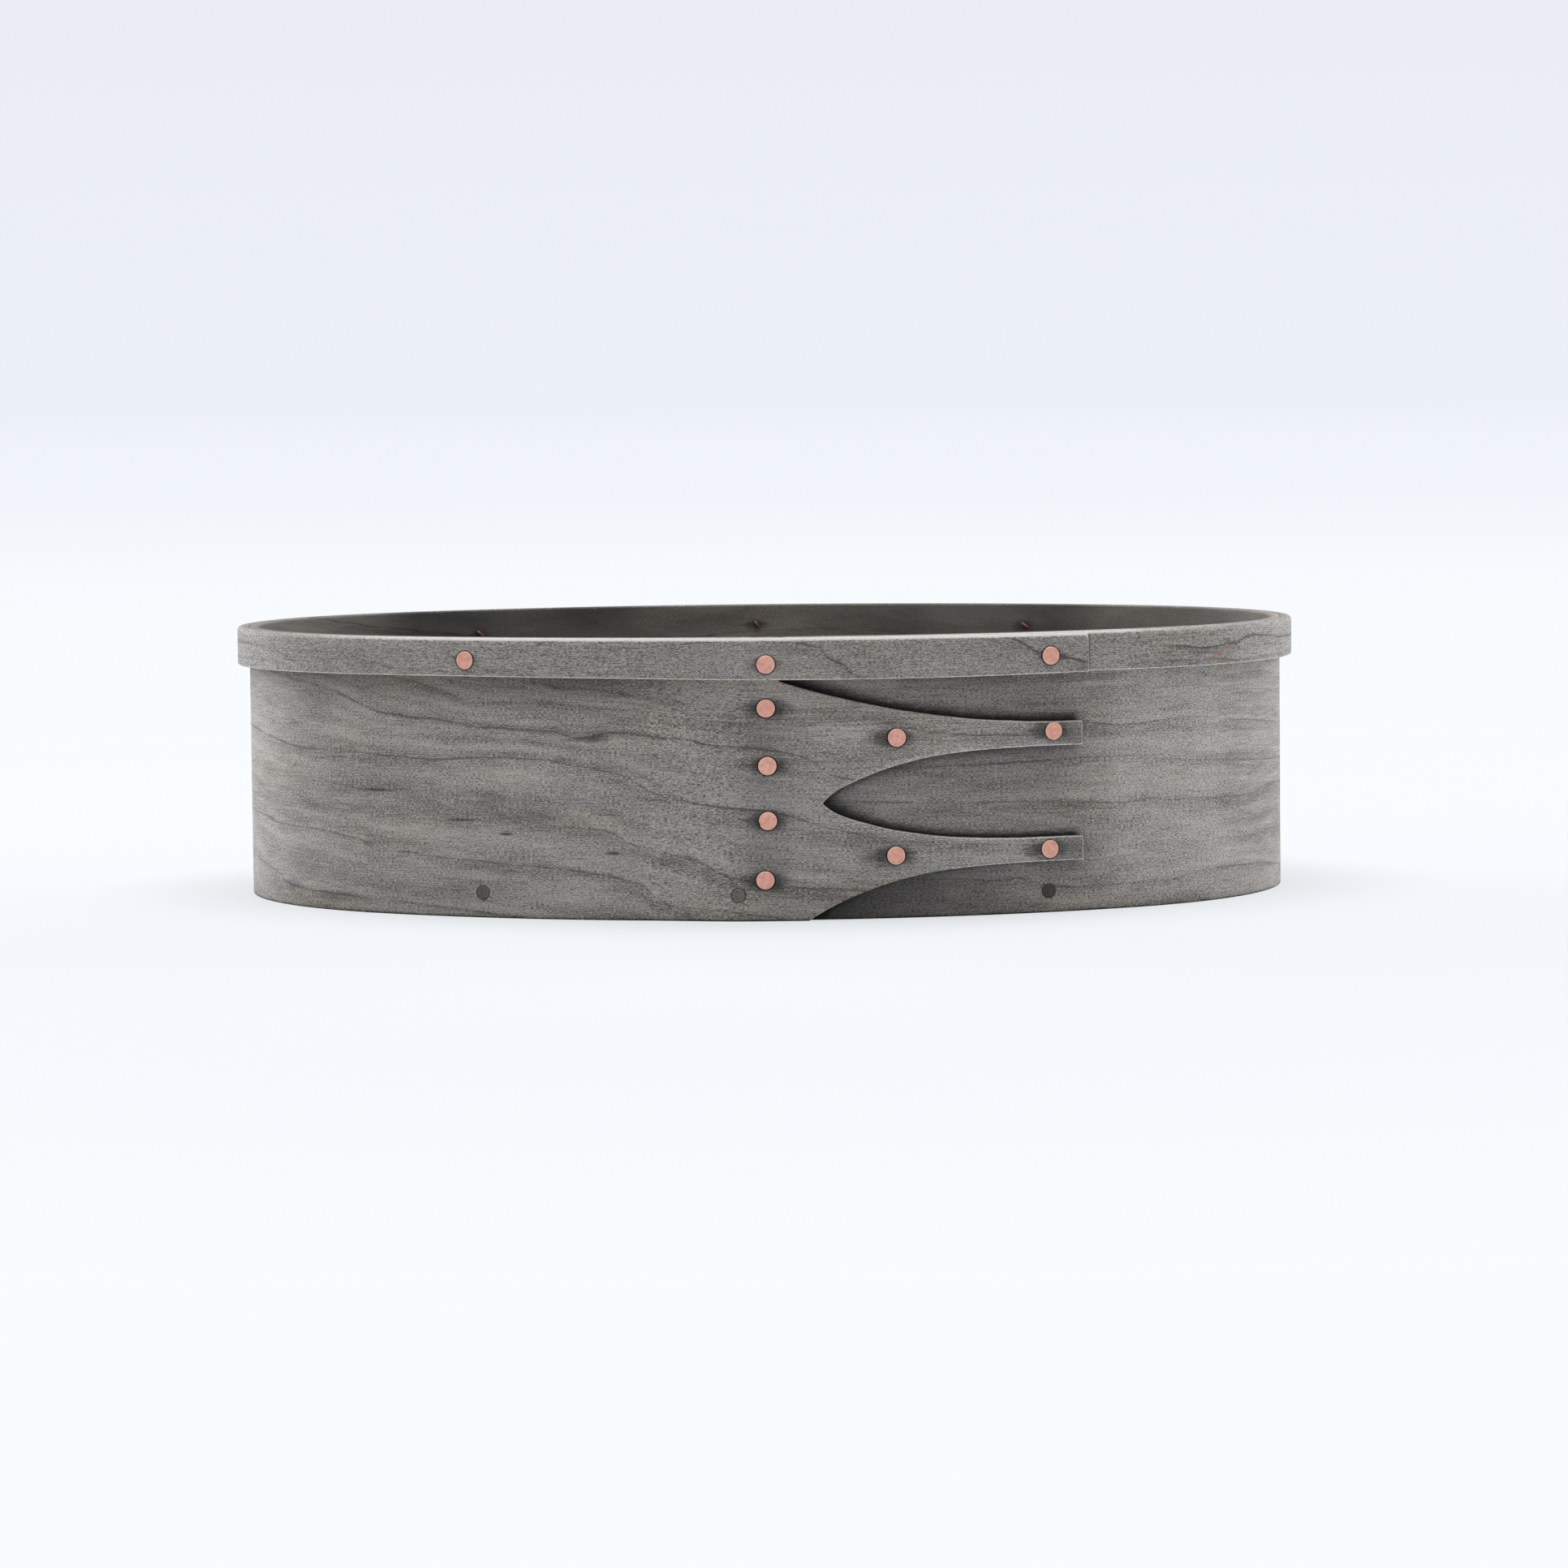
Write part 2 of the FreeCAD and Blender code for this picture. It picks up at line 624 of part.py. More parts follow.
def tackBody(node, grip, clenchTurn):
    body = doc.addObject("PartDesign::Body", node)
    body.Label = node
    edgeText = "Sizes.tackHeadDiameter / 2"
    shankText = "Sizes.tackShankDiameter / 2"
    pointText = "Sizes.tackPointDiameter / 2"
    bendText = "Sizes.tackPointDiameter / 2 + Sizes.tackFit"
    profile = polygonSketch(body, node + "_profile", "XZ_Plane", [
        ("0", "Sizes.tackHeadProud"),
        (edgeText + " - Sizes.tackHeadProud", "Sizes.tackHeadProud"),
        (edgeText, "Sizes.tackHeadProud / 3"),
        (edgeText, "-Sizes.tackHeadSunk"),
        (shankText, "-Sizes.tackHeadSunk"),
        (pointText, "-(%s)" % grip),
        ("0", "-(%s)" % grip),
    ])
    turnedFeature(body, node + "_shank", profile)

    section = planeSketch(body, node + "_section", "XY_Plane")
    pointRadius = size("tackPointDiameter") / 2
    section.addGeometry(Part.Circle(Vector(0, 0, 0), Vector(0, 0, 1), pointRadius), False)
    section.addConstraint(Sketcher.Constraint("Coincident", 0, 3, -1, 1))
    bind(section, Sketcher.Constraint("Radius", 0, pointRadius), pointText)
    section.setExpression("AttachmentOffset.Base.z", "-(%s)" % grip)

    path = planeSketch(body, node + "_path", "XZ_Plane")
    bend = valueOf(bendText)
    depth = valueOf(grip)
    length = size("tackClenchLength")
    corner = Part.Circle(Vector(bend, -depth, 0), Vector(0, 0, 1), bend)
    path.addGeometry(Part.ArcOfCircle(corner, math.pi, 1.5 * math.pi), False)
    start = Vector(bend, -depth - bend, 0)
    path.addGeometry(Part.LineSegment(start, start + Vector(length, 0, 0)), False)
    pinPoint(path, 0, 3, bendText, "-(%s)" % grip)
    bind(path, Sketcher.Constraint("Radius", 0, bend), bendText)
    path.addConstraint(Sketcher.Constraint("Horizontal", 0, 1, 0, 3))
    path.addConstraint(Sketcher.Constraint("Vertical", 0, 2, 0, 3))
    path.addConstraint(Sketcher.Constraint("Coincident", 0, 2, 1, 1))
    path.addConstraint(Sketcher.Constraint("Horizontal", 1))
    bind(path, Sketcher.Constraint("DistanceX", 1, 1, 1, 2, length), "Sizes.tackClenchLength")
    clench = body.newObject("PartDesign::AdditivePipe", node + "_clench")
    clench.Profile = section
    clench.Spine = path
    body.Placement = frameOf(node).multiply(Placement(Vector(), Rotation(Vector(0, 0, 1), clenchTurn)))
    return body


# The lowest tack of the row is bent upwards, clear of the board
clenchSway = (0, 12, -9, -95, -14, 8, -4, 10)
tackBodies = []
for nodes in (wallTacks, rimTacks):
    for node, sway in zip(nodes, clenchSway):
        tackBodies.append(tackBody(node, gripText(node), size("tackClenchAngle") + sway))


# A peg: a straight round pin with an eased leading end, driven through the wall into the board and
# trimmed level with the wall
def pegBody(node):
    body = doc.addObject("PartDesign::Body", node)
    body.Label = node
    radiusText = "Sizes.pegDiameter / 2"
    lengthText = "%.4f + Sizes.boardGap + Sizes.pegBite" % faceOf(node)
    profile = polygonSketch(body, node + "_profile", "XZ_Plane", [
        ("0", "0"),
        (radiusText, "0"),
        (radiusText, "-(%s - Sizes.pegLead)" % lengthText),
        (radiusText + " - Sizes.pegLead", "-(%s)" % lengthText),
        ("0", "-(%s)" % lengthText),
    ])
    turnedFeature(body, node + "_pin", profile)
    body.Placement = frameOf(node)
    return body


pegBodies = [pegBody(node) for node in pegs]
doc.recompute()

# Every object must be sound before anything is written
for item in doc.Objects:
    if "Invalid" in item.State or "Error" in item.State:
        raise RuntimeError("%s failed: %s" % (item.Label, item.State))

keptParts = [wallBand, rimBand, bottomBoard] + tackBodies + pegBodies
for item in keptParts:
    shape = item.Shape
    if shape.isNull() or not shape.isValid() or len(shape.Solids) != 1:
        raise RuntimeError("%s has no single sound solid" % item.Label)

os.makedirs("parts", exist_ok=True)
for item in keptParts:
    item.Shape.exportStep("parts/%s.step" % item.Label)
    print("%-16s %10.2f mm3" % (item.Label, item.Shape.Volume))
print("girth %.1f, side radius %.2f" % (girth, sideRadius))
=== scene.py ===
import math
import bmesh
import bpy
from mathutils import Matrix, Vector, noise


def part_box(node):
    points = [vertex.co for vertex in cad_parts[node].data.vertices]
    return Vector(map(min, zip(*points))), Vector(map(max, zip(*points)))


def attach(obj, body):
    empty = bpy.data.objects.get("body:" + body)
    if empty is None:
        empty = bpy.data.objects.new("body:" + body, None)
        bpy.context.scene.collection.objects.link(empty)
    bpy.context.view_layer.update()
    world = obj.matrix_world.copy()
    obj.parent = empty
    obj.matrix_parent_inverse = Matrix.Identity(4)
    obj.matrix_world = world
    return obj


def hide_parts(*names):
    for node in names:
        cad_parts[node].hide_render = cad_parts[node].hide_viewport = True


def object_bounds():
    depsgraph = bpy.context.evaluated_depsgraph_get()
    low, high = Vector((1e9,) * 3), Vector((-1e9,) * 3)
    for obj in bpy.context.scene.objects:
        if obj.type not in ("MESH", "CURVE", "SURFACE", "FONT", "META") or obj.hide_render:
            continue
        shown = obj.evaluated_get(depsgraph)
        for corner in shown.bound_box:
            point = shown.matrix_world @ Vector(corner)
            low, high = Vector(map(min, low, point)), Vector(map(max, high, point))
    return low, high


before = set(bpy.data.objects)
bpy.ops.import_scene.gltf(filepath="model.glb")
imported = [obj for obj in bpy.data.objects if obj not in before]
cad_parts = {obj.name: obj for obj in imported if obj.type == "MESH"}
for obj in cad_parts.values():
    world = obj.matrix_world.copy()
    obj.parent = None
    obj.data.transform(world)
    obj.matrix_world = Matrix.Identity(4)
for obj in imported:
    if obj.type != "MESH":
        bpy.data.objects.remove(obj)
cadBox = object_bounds()
print("frame loaded:", len(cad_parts), "nodes")

mm = 0.001  # every length below is in millimetres, unless it says otherwise
hair = 1e-6  # keeps rounding from deciding on which side of a line a place lies

# The oval that the bands were bent on, read back from the board that fills it
boardGap = 0.1
boardLow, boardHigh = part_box("bottom_board")
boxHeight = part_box("wall_band")[1].z / mm
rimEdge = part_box("rim_band")[0].z / mm
boardTop = boardHigh.z / mm
boardBase = boardLow.z / mm
halfLength = boardHigh.x / mm + boardGap
halfWidth = boardHigh.y / mm + boardGap
endRadius = 76.0
endShift = halfLength - endRadius
sideRadius = (endShift ** 2 + halfWidth ** 2 - endRadius ** 2) / (2 * (halfWidth - endRadius))
sideShift = sideRadius - halfWidth
sideReach = math.asin(endShift / (sideRadius - endRadius))
sideLength = 2 * sideReach * sideRadius
endLength = 2 * (math.pi / 2 - sideReach) * endRadius
girth = 2 * (sideLength + endLength)

# Each arc: centre, radius, the way its middle faces (turned from -Y towards +X), place of its middle
ovalArcs = [
    ((0, sideShift), sideRadius, 0.0, 0.0),
    ((endShift, 0), endRadius, math.pi / 2, girth / 4),
    ((0, -sideShift), sideRadius, math.pi, girth / 2),
    ((-endShift, 0), endRadius, 1.5 * math.pi, girth * 3 / 4),
]


def arcAt(along):
    place = (along + sideLength / 2) % girth - sideLength / 2
    for centre, radius, middleTurn, middleAlong in ovalArcs:
        reach = sideLength / 2 if radius == sideRadius else endLength / 2
        if place <= middleAlong + reach + hair:
            return centre, radius, middleTurn + (place - middleAlong) / radius


def bentPoint(along, height, face):
    # From the flat strip (along it, up, out of the box) to its place on the oval, in metres
    centre, radius, turn = arcAt(along)
    reach = radius + face
    return Vector((centre[0] + math.sin(turn) * reach, centre[1] - math.cos(turn) * reach, height)) * mm


def outwardMatrix(along, height, face):
    # Local X runs along the wall, Y up and Z out of the box, in millimetres
    turn = arcAt(along)[2]
    tangent = Vector((math.cos(turn), math.sin(turn), 0))
    outward = Vector((math.sin(turn), -math.cos(turn), 0))
    axes = Matrix((tangent, Vector((0, 0, 1)), outward)).transposed().to_4x4()
    return Matrix.Translation(bentPoint(along, height, face)) @ axes @ Matrix.Scale(mm, 4)


def smoothStep(start, end, place):
    part = min(max((place - start) / (end - start), 0.0), 1.0)
    return part * part * (3 - 2 * part)


def near(distance, reach):
    # Whole at the place itself, and fading with the distance from it
    return math.exp(-max(distance, 0) / reach)


def fromFront(along):
    # Left of the front middle it is less than nothing
    return (along + girth / 2) % girth - girth / 2


def waver(seed, place, length, size):
    # A slow, even-tempered wandering line
    return size * noise.noise(Vector((place / length, seed * 7.31, 0.5)))


def spread(stops):
    # Places with about the given spacing after each stop
    places = []
    for (start, spacing), (end, _) in zip(stops, stops[1:]):
        count = max(1, math.ceil((end - start) / spacing))
        places += [start + (end - start) * index / count for index in range(count)]
    return places + [stops[-1][0]]


def through(points, place):
    # A soft curve through a few points
    if place <= points[0][0]:
        return points[0][1]
    if place >= points[-1][0]:
        return points[-1][1]
    index = max(item for item in range(len(points) - 1) if points[item][0] <= place)
    slopes = []
    for item in (index, index + 1):
        before = points[max(item - 1, 0)]
        after = points[min(item + 1, len(points) - 1)]
        slopes.append((after[1] - before[1]) / (after[0] - before[0]))
    (start, low), (end, high) = points[index], points[index + 1]
    span = end - start
    part = (place - start) / span
    rise = part * part * (3 - 2 * part)
    first = part * (1 - part) ** 2 * span * slopes[0]
    last = part * part * (1 - part) * span * slopes[1]
    return low + (high - low) * rise + first - last


# Laps, in millimetres along the oval from the middle of the front
lap = {
    "wallThickness": 2.2,
    "rimThickness": 2.7,
    "layerGap": 0.15,
    "bandGap": 0.1,
    "rampStart": -24.0,
    "rampEnd": 0.5,
    "levelStart": 7.6,
    "levelEnd": 26.0,
    "outerEnd": 75.3,
}
layerStep = lap["wallThickness"] + lap["layerGap"]
rimInside = lap["wallThickness"] + lap["bandGap"]


def wallLift(along):
    return layerStep * smoothStep(lap["rampStart"], lap["rampEnd"], along)


def rimLift(along):
    levelling = smoothStep(lap["levelStart"], lap["levelEnd"], along)
    return wallLift(along) + (lap["rimThickness"] - lap["wallThickness"]) * levelling


def inLap(along):
    return lap["rampStart"] < along < lap["outerEnd"]


def wallFace(along):
    return lap["wallThickness"] + (wallLift(along) if inLap(along) else 0)


def rimFace(along):
    return rimInside + lap["rimThickness"] + (rimLift(along) if inLap(along) else 0)


# Where the tacks and pegs sit: part of a turn, distance from there, height
tackPlaces = {
    "wall_tack_1": (0, 3.7, 47.7),
    "wall_tack_2": (0, 3.9, 34.8),
    "wall_tack_3": (0, 3.9, 22.5),
    "wall_tack_4": (0, 3.2, 9.2),
    "wall_tack_5": (0, 32.2, 40.7),
    "wall_tack_6": (0, 31.8, 14.25),
    "wall_tack_7": (0, 68.2, 41.2),
    "wall_tack_8": (0, 67.1, 14.55),
    "rim_tack_1": (0, -64.2, 58.4),
    "rim_tack_2": (0, 3.8, 57.6),
    "rim_tack_3": (0, 66.2, 58.35),
    "rim_tack_4": (0.25, 8.6, 58.6),
    "rim_tack_5": (0.5, -64.2, 58.6),
    "rim_tack_6": (0.5, 5.6, 59.1),
    "rim_tack_7": (0.5, 77.9, 58.0),
    "rim_tack_8": (0.75, 0.0, 58.3),
}
pegPlaces = {
    "bottom_peg_1": (0, -61.9, 5.65),
    "bottom_peg_2": (0, -2.7, 5.85),
    "bottom_peg_3": (0, 67.8, 4.9),
    "bottom_peg_4": (0.25, 0.0, 5.5),
    "bottom_peg_5": (0.5, -65.0, 5.4),
    "bottom_peg_6": (0.5, 0.0, 5.6),
    "bottom_peg_7": (0.5, 65.0, 5.3),
    "bottom_peg_8": (0.75, 0.0, 5.5),
}
tack = {
    "headRadius": 2.1,
    "proud": 0.25,
    "sunk": 0.2,
    "sides": 48,
    # Share of the radius, share of the height: a nearly flat top, a rounded edge, and a lip under it
    "head": [
        (0.3, 1.0), (0.55, 0.98), (0.75, 0.95), (0.88, 0.88), (0.95, 0.7), (0.985, 0.4), (1.0, 0.0),
        (0.99, -0.8),
    ],
    "topEdge": 0.6,
    "uneven": 0.012,
    "lumps": 1.4,
    "dents": 0.028,
    "dentLumps": 1.8,
    "nicks": {"wall_tack_3": 200},  # degrees round the head
    "nickDepth": 0.1,
    "nickWidth": 0.2,
    "shankRadius": 0.65,
    "pointRadius": 0.45,
    "bendGap": 0.05,
    "bendSteps": 6,
    "clench": 1.6,
    "taper": [(0.3, 0.42), (0.6, 0.36), (0.85, 0.26), (0.97, 0.15)],  # share of the clench, radius
    "tip": 0.06,
    "clenchTurn": 225,
    "sway": (0, 12, -9, -95, -14, 8, -4, 10),
    "seatGap": 0.14,
    "seatDepth": 0.3,
    "bleeding": {  # how far the stain runs to the left and to the right, and how dark it is on the right
        "wall_tack_1": (2.3, 2.5, 1.0),
        "wall_tack_2": (1.9, 2.6, 0.95),
        "wall_tack_3": (2.2, 2.1, 1.0),
        "wall_tack_4": (2.2, 2.4, 1.0),
        "wall_tack_5": (2.8, 1.9, 0.85),
        "wall_tack_6": (3.6, 2.0, 0.95),
        "wall_tack_7": (2.9, 1.8, 0.9),
        "wall_tack_8": (3.0, 1.8, 0.9),
    },
    "rimBleeding": (2.7, 2.4, 1.0),
}
fingerTipTacks = ("wall_tack_7", "wall_tack_8")  # as wide as the finger tips, so they have no seat
peg = {
    "radius": 1.6,
    "bite": 6.0,
    "lead": 0.4,
    "sides": 40,
    "head": [(0.35, -0.03), (0.7, -0.02), (0.92, -0.03), (0.99, -0.09), (1.0, -0.2)],  # share, level
    "uneven": 0.03,
    "lumps": 1.1,
    "ringSpacing": 0.55,
    "seatGap": 0.05,
    "seatDepth": 0.5,
    "tones": (0.35, 0.0, 0.68, 0.4, 0.2, 0.5, 0.3, 0.45),
}


def stripPlace(place, isOnOuterLayer):
    # The outer layer of the lap, and all that lies left of the front middle, is one round further along
    turn, along, height = place
    isLater = turn == 0 and (along < 0 or isOnOuterLayer)
    return (turn + 1 if isLater else turn) * girth + along, height


def seatOf(spot, kind, radius):
    return (*spot, radius + kind["seatGap"], kind["seatDepth"])


def pieceFrom(mesh, name):
    data = bpy.data.meshes.new(name)
    mesh.to_mesh(data)
    mesh.free()
    piece = bpy.data.objects.new(name, data)
    bpy.context.collection.objects.link(piece)
    return piece


def smoothed(piece):
    # Smooth shading in which the larger faces lead
    piece.data.shade_smooth()
    piece.modifiers.new("even shading", "WEIGHTED_NORMAL").weight = 100
    return piece


def joinRings(mesh, rings):
    # Faces from each ring of points to the next, where a ring may also be a single point
    for first, last in zip(rings, rings[1:]):
        count = max(len(first), len(last))
        for index in range(count):
            after = (index + 1) % count
            corners = [(first, index), (last, index), (last, after), (first, after)]
            corners = dict.fromkeys(ring[place % len(ring)] for ring, place in corners)
            mesh.faces.new(list(corners))


# Flat strips with rounded edges, which are bent onto the oval at the end
strip = {
    "clean": Vector((20, 0, 1)),  # the dark edge line of painted shade where there is none: far away, no depth
    "ringReach": 1.6,
    "ringWidth": 0.16,
    "ripples": (38, 17, 3),  # their length, their height, and where the pattern starts
    "roundest": 0.42,  # share of the thickness that an arris may take
    "straight": 0.08,
    "faceWear": 0.12,
    "sideWear": 0.35,
}
seatCut = {
    "search": 2.2,
    "clearAlong": 0.25,
    "clearUp": 0.9,
    "splits": (1 / 3, 0.5),
    "lip": [(0.2, -0.01), (0.03, 0.0), (0.0, 0.05)],  # beyond the radius, depth
}
bleed = {"core": 0.45, "rise": 1.2, "strength": 1.5}


def buildStrip(name, band):
    mesh = bmesh.new()
    marks = {label: mesh.verts.layers.float_vector.new(label) for label in ("flat", "rings", "edge")}
    marks |= {label: mesh.verts.layers.float.new(label) for label in ("wear", "stain", "grimeAndShade", "inside")}
    column, row = (mesh.faces.layers.int.new(label) for label in ("column", "row"))
    spots = {}
    partner = {}

    def corner(along, height):
        key = (round(along, 3), round(height, 3))
        if key not in spots:
            spots[key] = mesh.verts.new((along, height, band["outerFace"](along)))
            partner[spots[key]] = mesh.verts.new((along, height, band["innerFace"](along)))
        return spots[key]

    backs = set()
    firstRow = 0
    for block in band["blocks"]:
        rows = block["rows"]
        grid = []
        for along in block["columns"]:
            low = block["low"](along)
            rise = block["high"](along) - low
            grid.append([corner(along, low + rise * step / rows) for step in range(rows + 1)])
        for place, (left, right) in enumerate(zip(grid, grid[1:])):
            for step in range(rows):
                quad = (left[step], right[step], right[step + 1], left[step + 1])
                front = mesh.faces.new(quad)
                front[column] = place
                front[row] = firstRow + step
                backs.add(mesh.faces.new([partner[vert] for vert in reversed(quad)]))
        firstRow += rows
    fronts = set(mesh.faces) - backs
    roundEdges(mesh, band, partner, fronts, marks["wear"])
    for face in mesh.faces:
        if face not in fronts:
            face[column] = -1
    for seat in band["seats"]:
        cutSeat(mesh, column, row, *seat)
    bmesh.ops.recalc_face_normals(mesh, faces=mesh.faces)

    rippleLength, rippleHeight, rippleStart = strip["ripples"]
    for vert in mesh.verts:
        along, height, face = vert.co
        isOuter = face > (band["outerFace"](along) + band["innerFace"](along)) / 2
        vert[marks["flat"]] = vert.co
        vert[marks["rings"]] = band["figure"](along, height)
        vert[marks["stain"]] = stainAt(along, height, band["stains"])
        vert[marks["inside"]] = 0.0 if isOuter else 1.0
        # Grime and painted shade: outside, dirt with painted shade at the foot, under the rim and round the
        # fingers; inside, painted shade
        if isOuter:
            vert[marks["wear"]] = max(vert[marks["wear"]], band["rubbed"](along, height))
            vert[marks["grimeAndShade"]] = band["grimeAndShade"](along, height)
            vert[marks["edge"]] = edgeShadeLine(along, height, band)
            ripple = noise.noise(Vector((along / rippleLength, height / rippleHeight, rippleStart)))
            face -= abs(ripple) * band["ripple"]
        else:
            vert[marks["grimeAndShade"]] = band["innerGrime"](along, height)
            vert[marks["edge"]] = strip["clean"]
        vert.co = bentPoint(along, height, face)
        vert.co.x = min(vert.co.x, cadBox[1][0])
    return smoothed(pieceFrom(mesh, name))


def roundEdges(mesh, band, partner, fronts, wear):
    # Every outline edge gets a rounded arris on both faces, and the wood's thickness between them
    outline = [edge for edge in mesh.edges if len(edge.link_faces) == 1 and edge.link_faces[0] in fronts]
    around = {}
    for edge in outline:
        first, last = edge.verts
        middle = (first.co + last.co) / 2
        run = (last.co - first.co).xy.normalized()
        inward = (edge.link_faces[0].calc_center_median() - middle).xy
        inward = (inward - run * inward.dot(run)).normalized()
        for vert in edge.verts:
            around.setdefault(vert, []).append((inward, band["arris"](middle.x, middle.y)))

    def inset(sides, kind, share, limit):
        (firstWay, firstArris), (lastWay, lastArris) = sides
        first = min(firstArris[kind], limit) * share
        last = min(lastArris[kind], limit) * share
        turn = firstWay.x * lastWay.y - firstWay.y * lastWay.x
        if abs(turn) < strip["straight"]:
            return (firstWay * first + lastWay * last) / 2
        return Vector((first * lastWay.y - last * firstWay.y, last * firstWay.x - first * lastWay.x)) / turn

    steps = band["edgeSteps"]
    chains = {}
    for vert, sides in around.items():
        homes = {"outer": vert.co.copy(), "inner": partner[vert].co.copy()}
        limit = (homes["outer"].z - homes["inner"].z) * strip["roundest"]
        worn = max(arris["wear"] for _, arris in sides)
        chain = []
        for kind, way in (("outer", -1), ("inner", 1)):
            radius = sum(min(arris[kind], limit) for _, arris in sides) / 2
            start = vert if kind == "outer" else partner[vert]
            ring = [start]
            for step in range(steps + 1):
                angle = step / steps * math.pi / 2
                shift = inset(sides, kind, 1 - math.sin(angle), limit)
                spot = homes[kind] + Vector((shift.x, shift.y, way * radius * (1 - math.cos(angle))))
                if step == 0:
                    start.co = spot
                    start[wear] = worn * strip["faceWear"]
                    continue
                made = mesh.verts.new(spot)
                made[wear] = worn * (strip["sideWear"] if step == steps else 1.0)
                ring.append(made)
            chain += ring if kind == "outer" else ring[::-1]
        chains[vert] = chain
    for edge in outline:
        first, last = (chains[vert] for vert in edge.verts)
        for step in range(len(first) - 1):
            mesh.faces.new((first[step], first[step + 1], last[step + 1], last[step]))


def cutSeat(mesh, column, row, along, height, radius, depth):
    # A round seat pressed into the strip: a block of faces gives way to rings that end on its floor
    nearby = [face for face in mesh.faces if face[column] >= 0]
    search = radius + seatCut["search"]
    nearby = [face for face in nearby if abs(face.calc_center_median().x - along) < search]
    middles = {face: face.calc_center_median().xy - Vector((along, height)) for face in nearby}
    home = min(nearby, key=lambda face: middles[face].length)
    reach = radius + seatCut["clearAlong"] + abs(home.verts[1].co.x - home.verts[0].co.x) / 2
    columns = {face[column] for face in nearby if abs(middles[face].x) < reach}
    upright = [face for face in nearby if face[column] == home[column]]
    rows = {face[row] for face in upright if abs(middles[face].y) < radius + seatCut["clearUp"]}
    doomed = [face for face in nearby if face[column] in columns and face[row] in rows]
    gone = set(doomed)
    border = [edge for face in doomed for edge in face.edges if len(gone.intersection(edge.link_faces)) == 1]
    bmesh.ops.delete(mesh, geom=doomed, context="FACES")
    around = set(border)
    for edge in border:
        for share in seatCut["splits"]:
            around.add(bmesh.utils.edge_split(edge, edge.verts[0], share)[0])
    loop = [border[0].verts[0]]
    edge = border[0]
    while edge:
        around.discard(edge)
        loop.append(edge.other_vert(loop[-1]))
        edge = next((other for other in loop[-1].link_edges if other in around), None)
    loop.pop()
    count = len(loop)
    level = sum(vert.co.z for vert in loop) / count
    slope = sum((vert.co.x - along) * (vert.co.z - level) for vert in loop)
    slope /= sum((vert.co.x - along) ** 2 for vert in loop)
    angles = [math.atan2(vert.co.y - height, vert.co.x - along) for vert in loop]
    sense = 1 if sum(math.sin(after - angle) for angle, after in zip(angles, angles[1:])) > 0 else -1
    rings = [loop]
    for beyond, drop in (*seatCut["lip"], (0.0, depth)):
        ring = []
        for index in range(count):
            angle = angles[0] + sense * 2 * math.pi * index / count
            x = math.cos(angle) * (radius + beyond)
            y = math.sin(angle) * (radius + beyond)
            ring.append(mesh.verts.new((along + x, height + y, level + slope * x - drop)))
        rings.append(ring)
    joinRings(mesh, rings)
    mesh.faces.new(rings[-1])


def stainAt(along, height, stains):
    # Dark, blue-black bleeding of the wood round each piece of metal, drawn out along the grain
    deepest = 0.0
    for x, y, size, left, right, share in stains:
        across = along - x
        reach = size * (left if across < 0 else right)
        beyond = max(abs(across) - size * bleed["core"], 0) / reach
        far = math.hypot(beyond, (height - y) / (size * bleed["rise"]))
        deepest = max(deepest, (bleed["strength"] - far) * (share if across > 0 else 1))
    return deepest


def edgeShadeLine(along, height, band):
    # The nearest edge with a line of painted shade and dirt: how far it is, how dark the line is, and how
    # wide
    line = band["edgeLine"](along, height) if "edgeLine" in band else strip["clean"]
    for x, y, radius, depth in band["rings"]:
        gap = math.hypot(along - x, height - y) - radius
        if gap < min(line[0], strip["ringReach"]):
            line = Vector((gap, depth, strip["ringWidth"]))
    return line


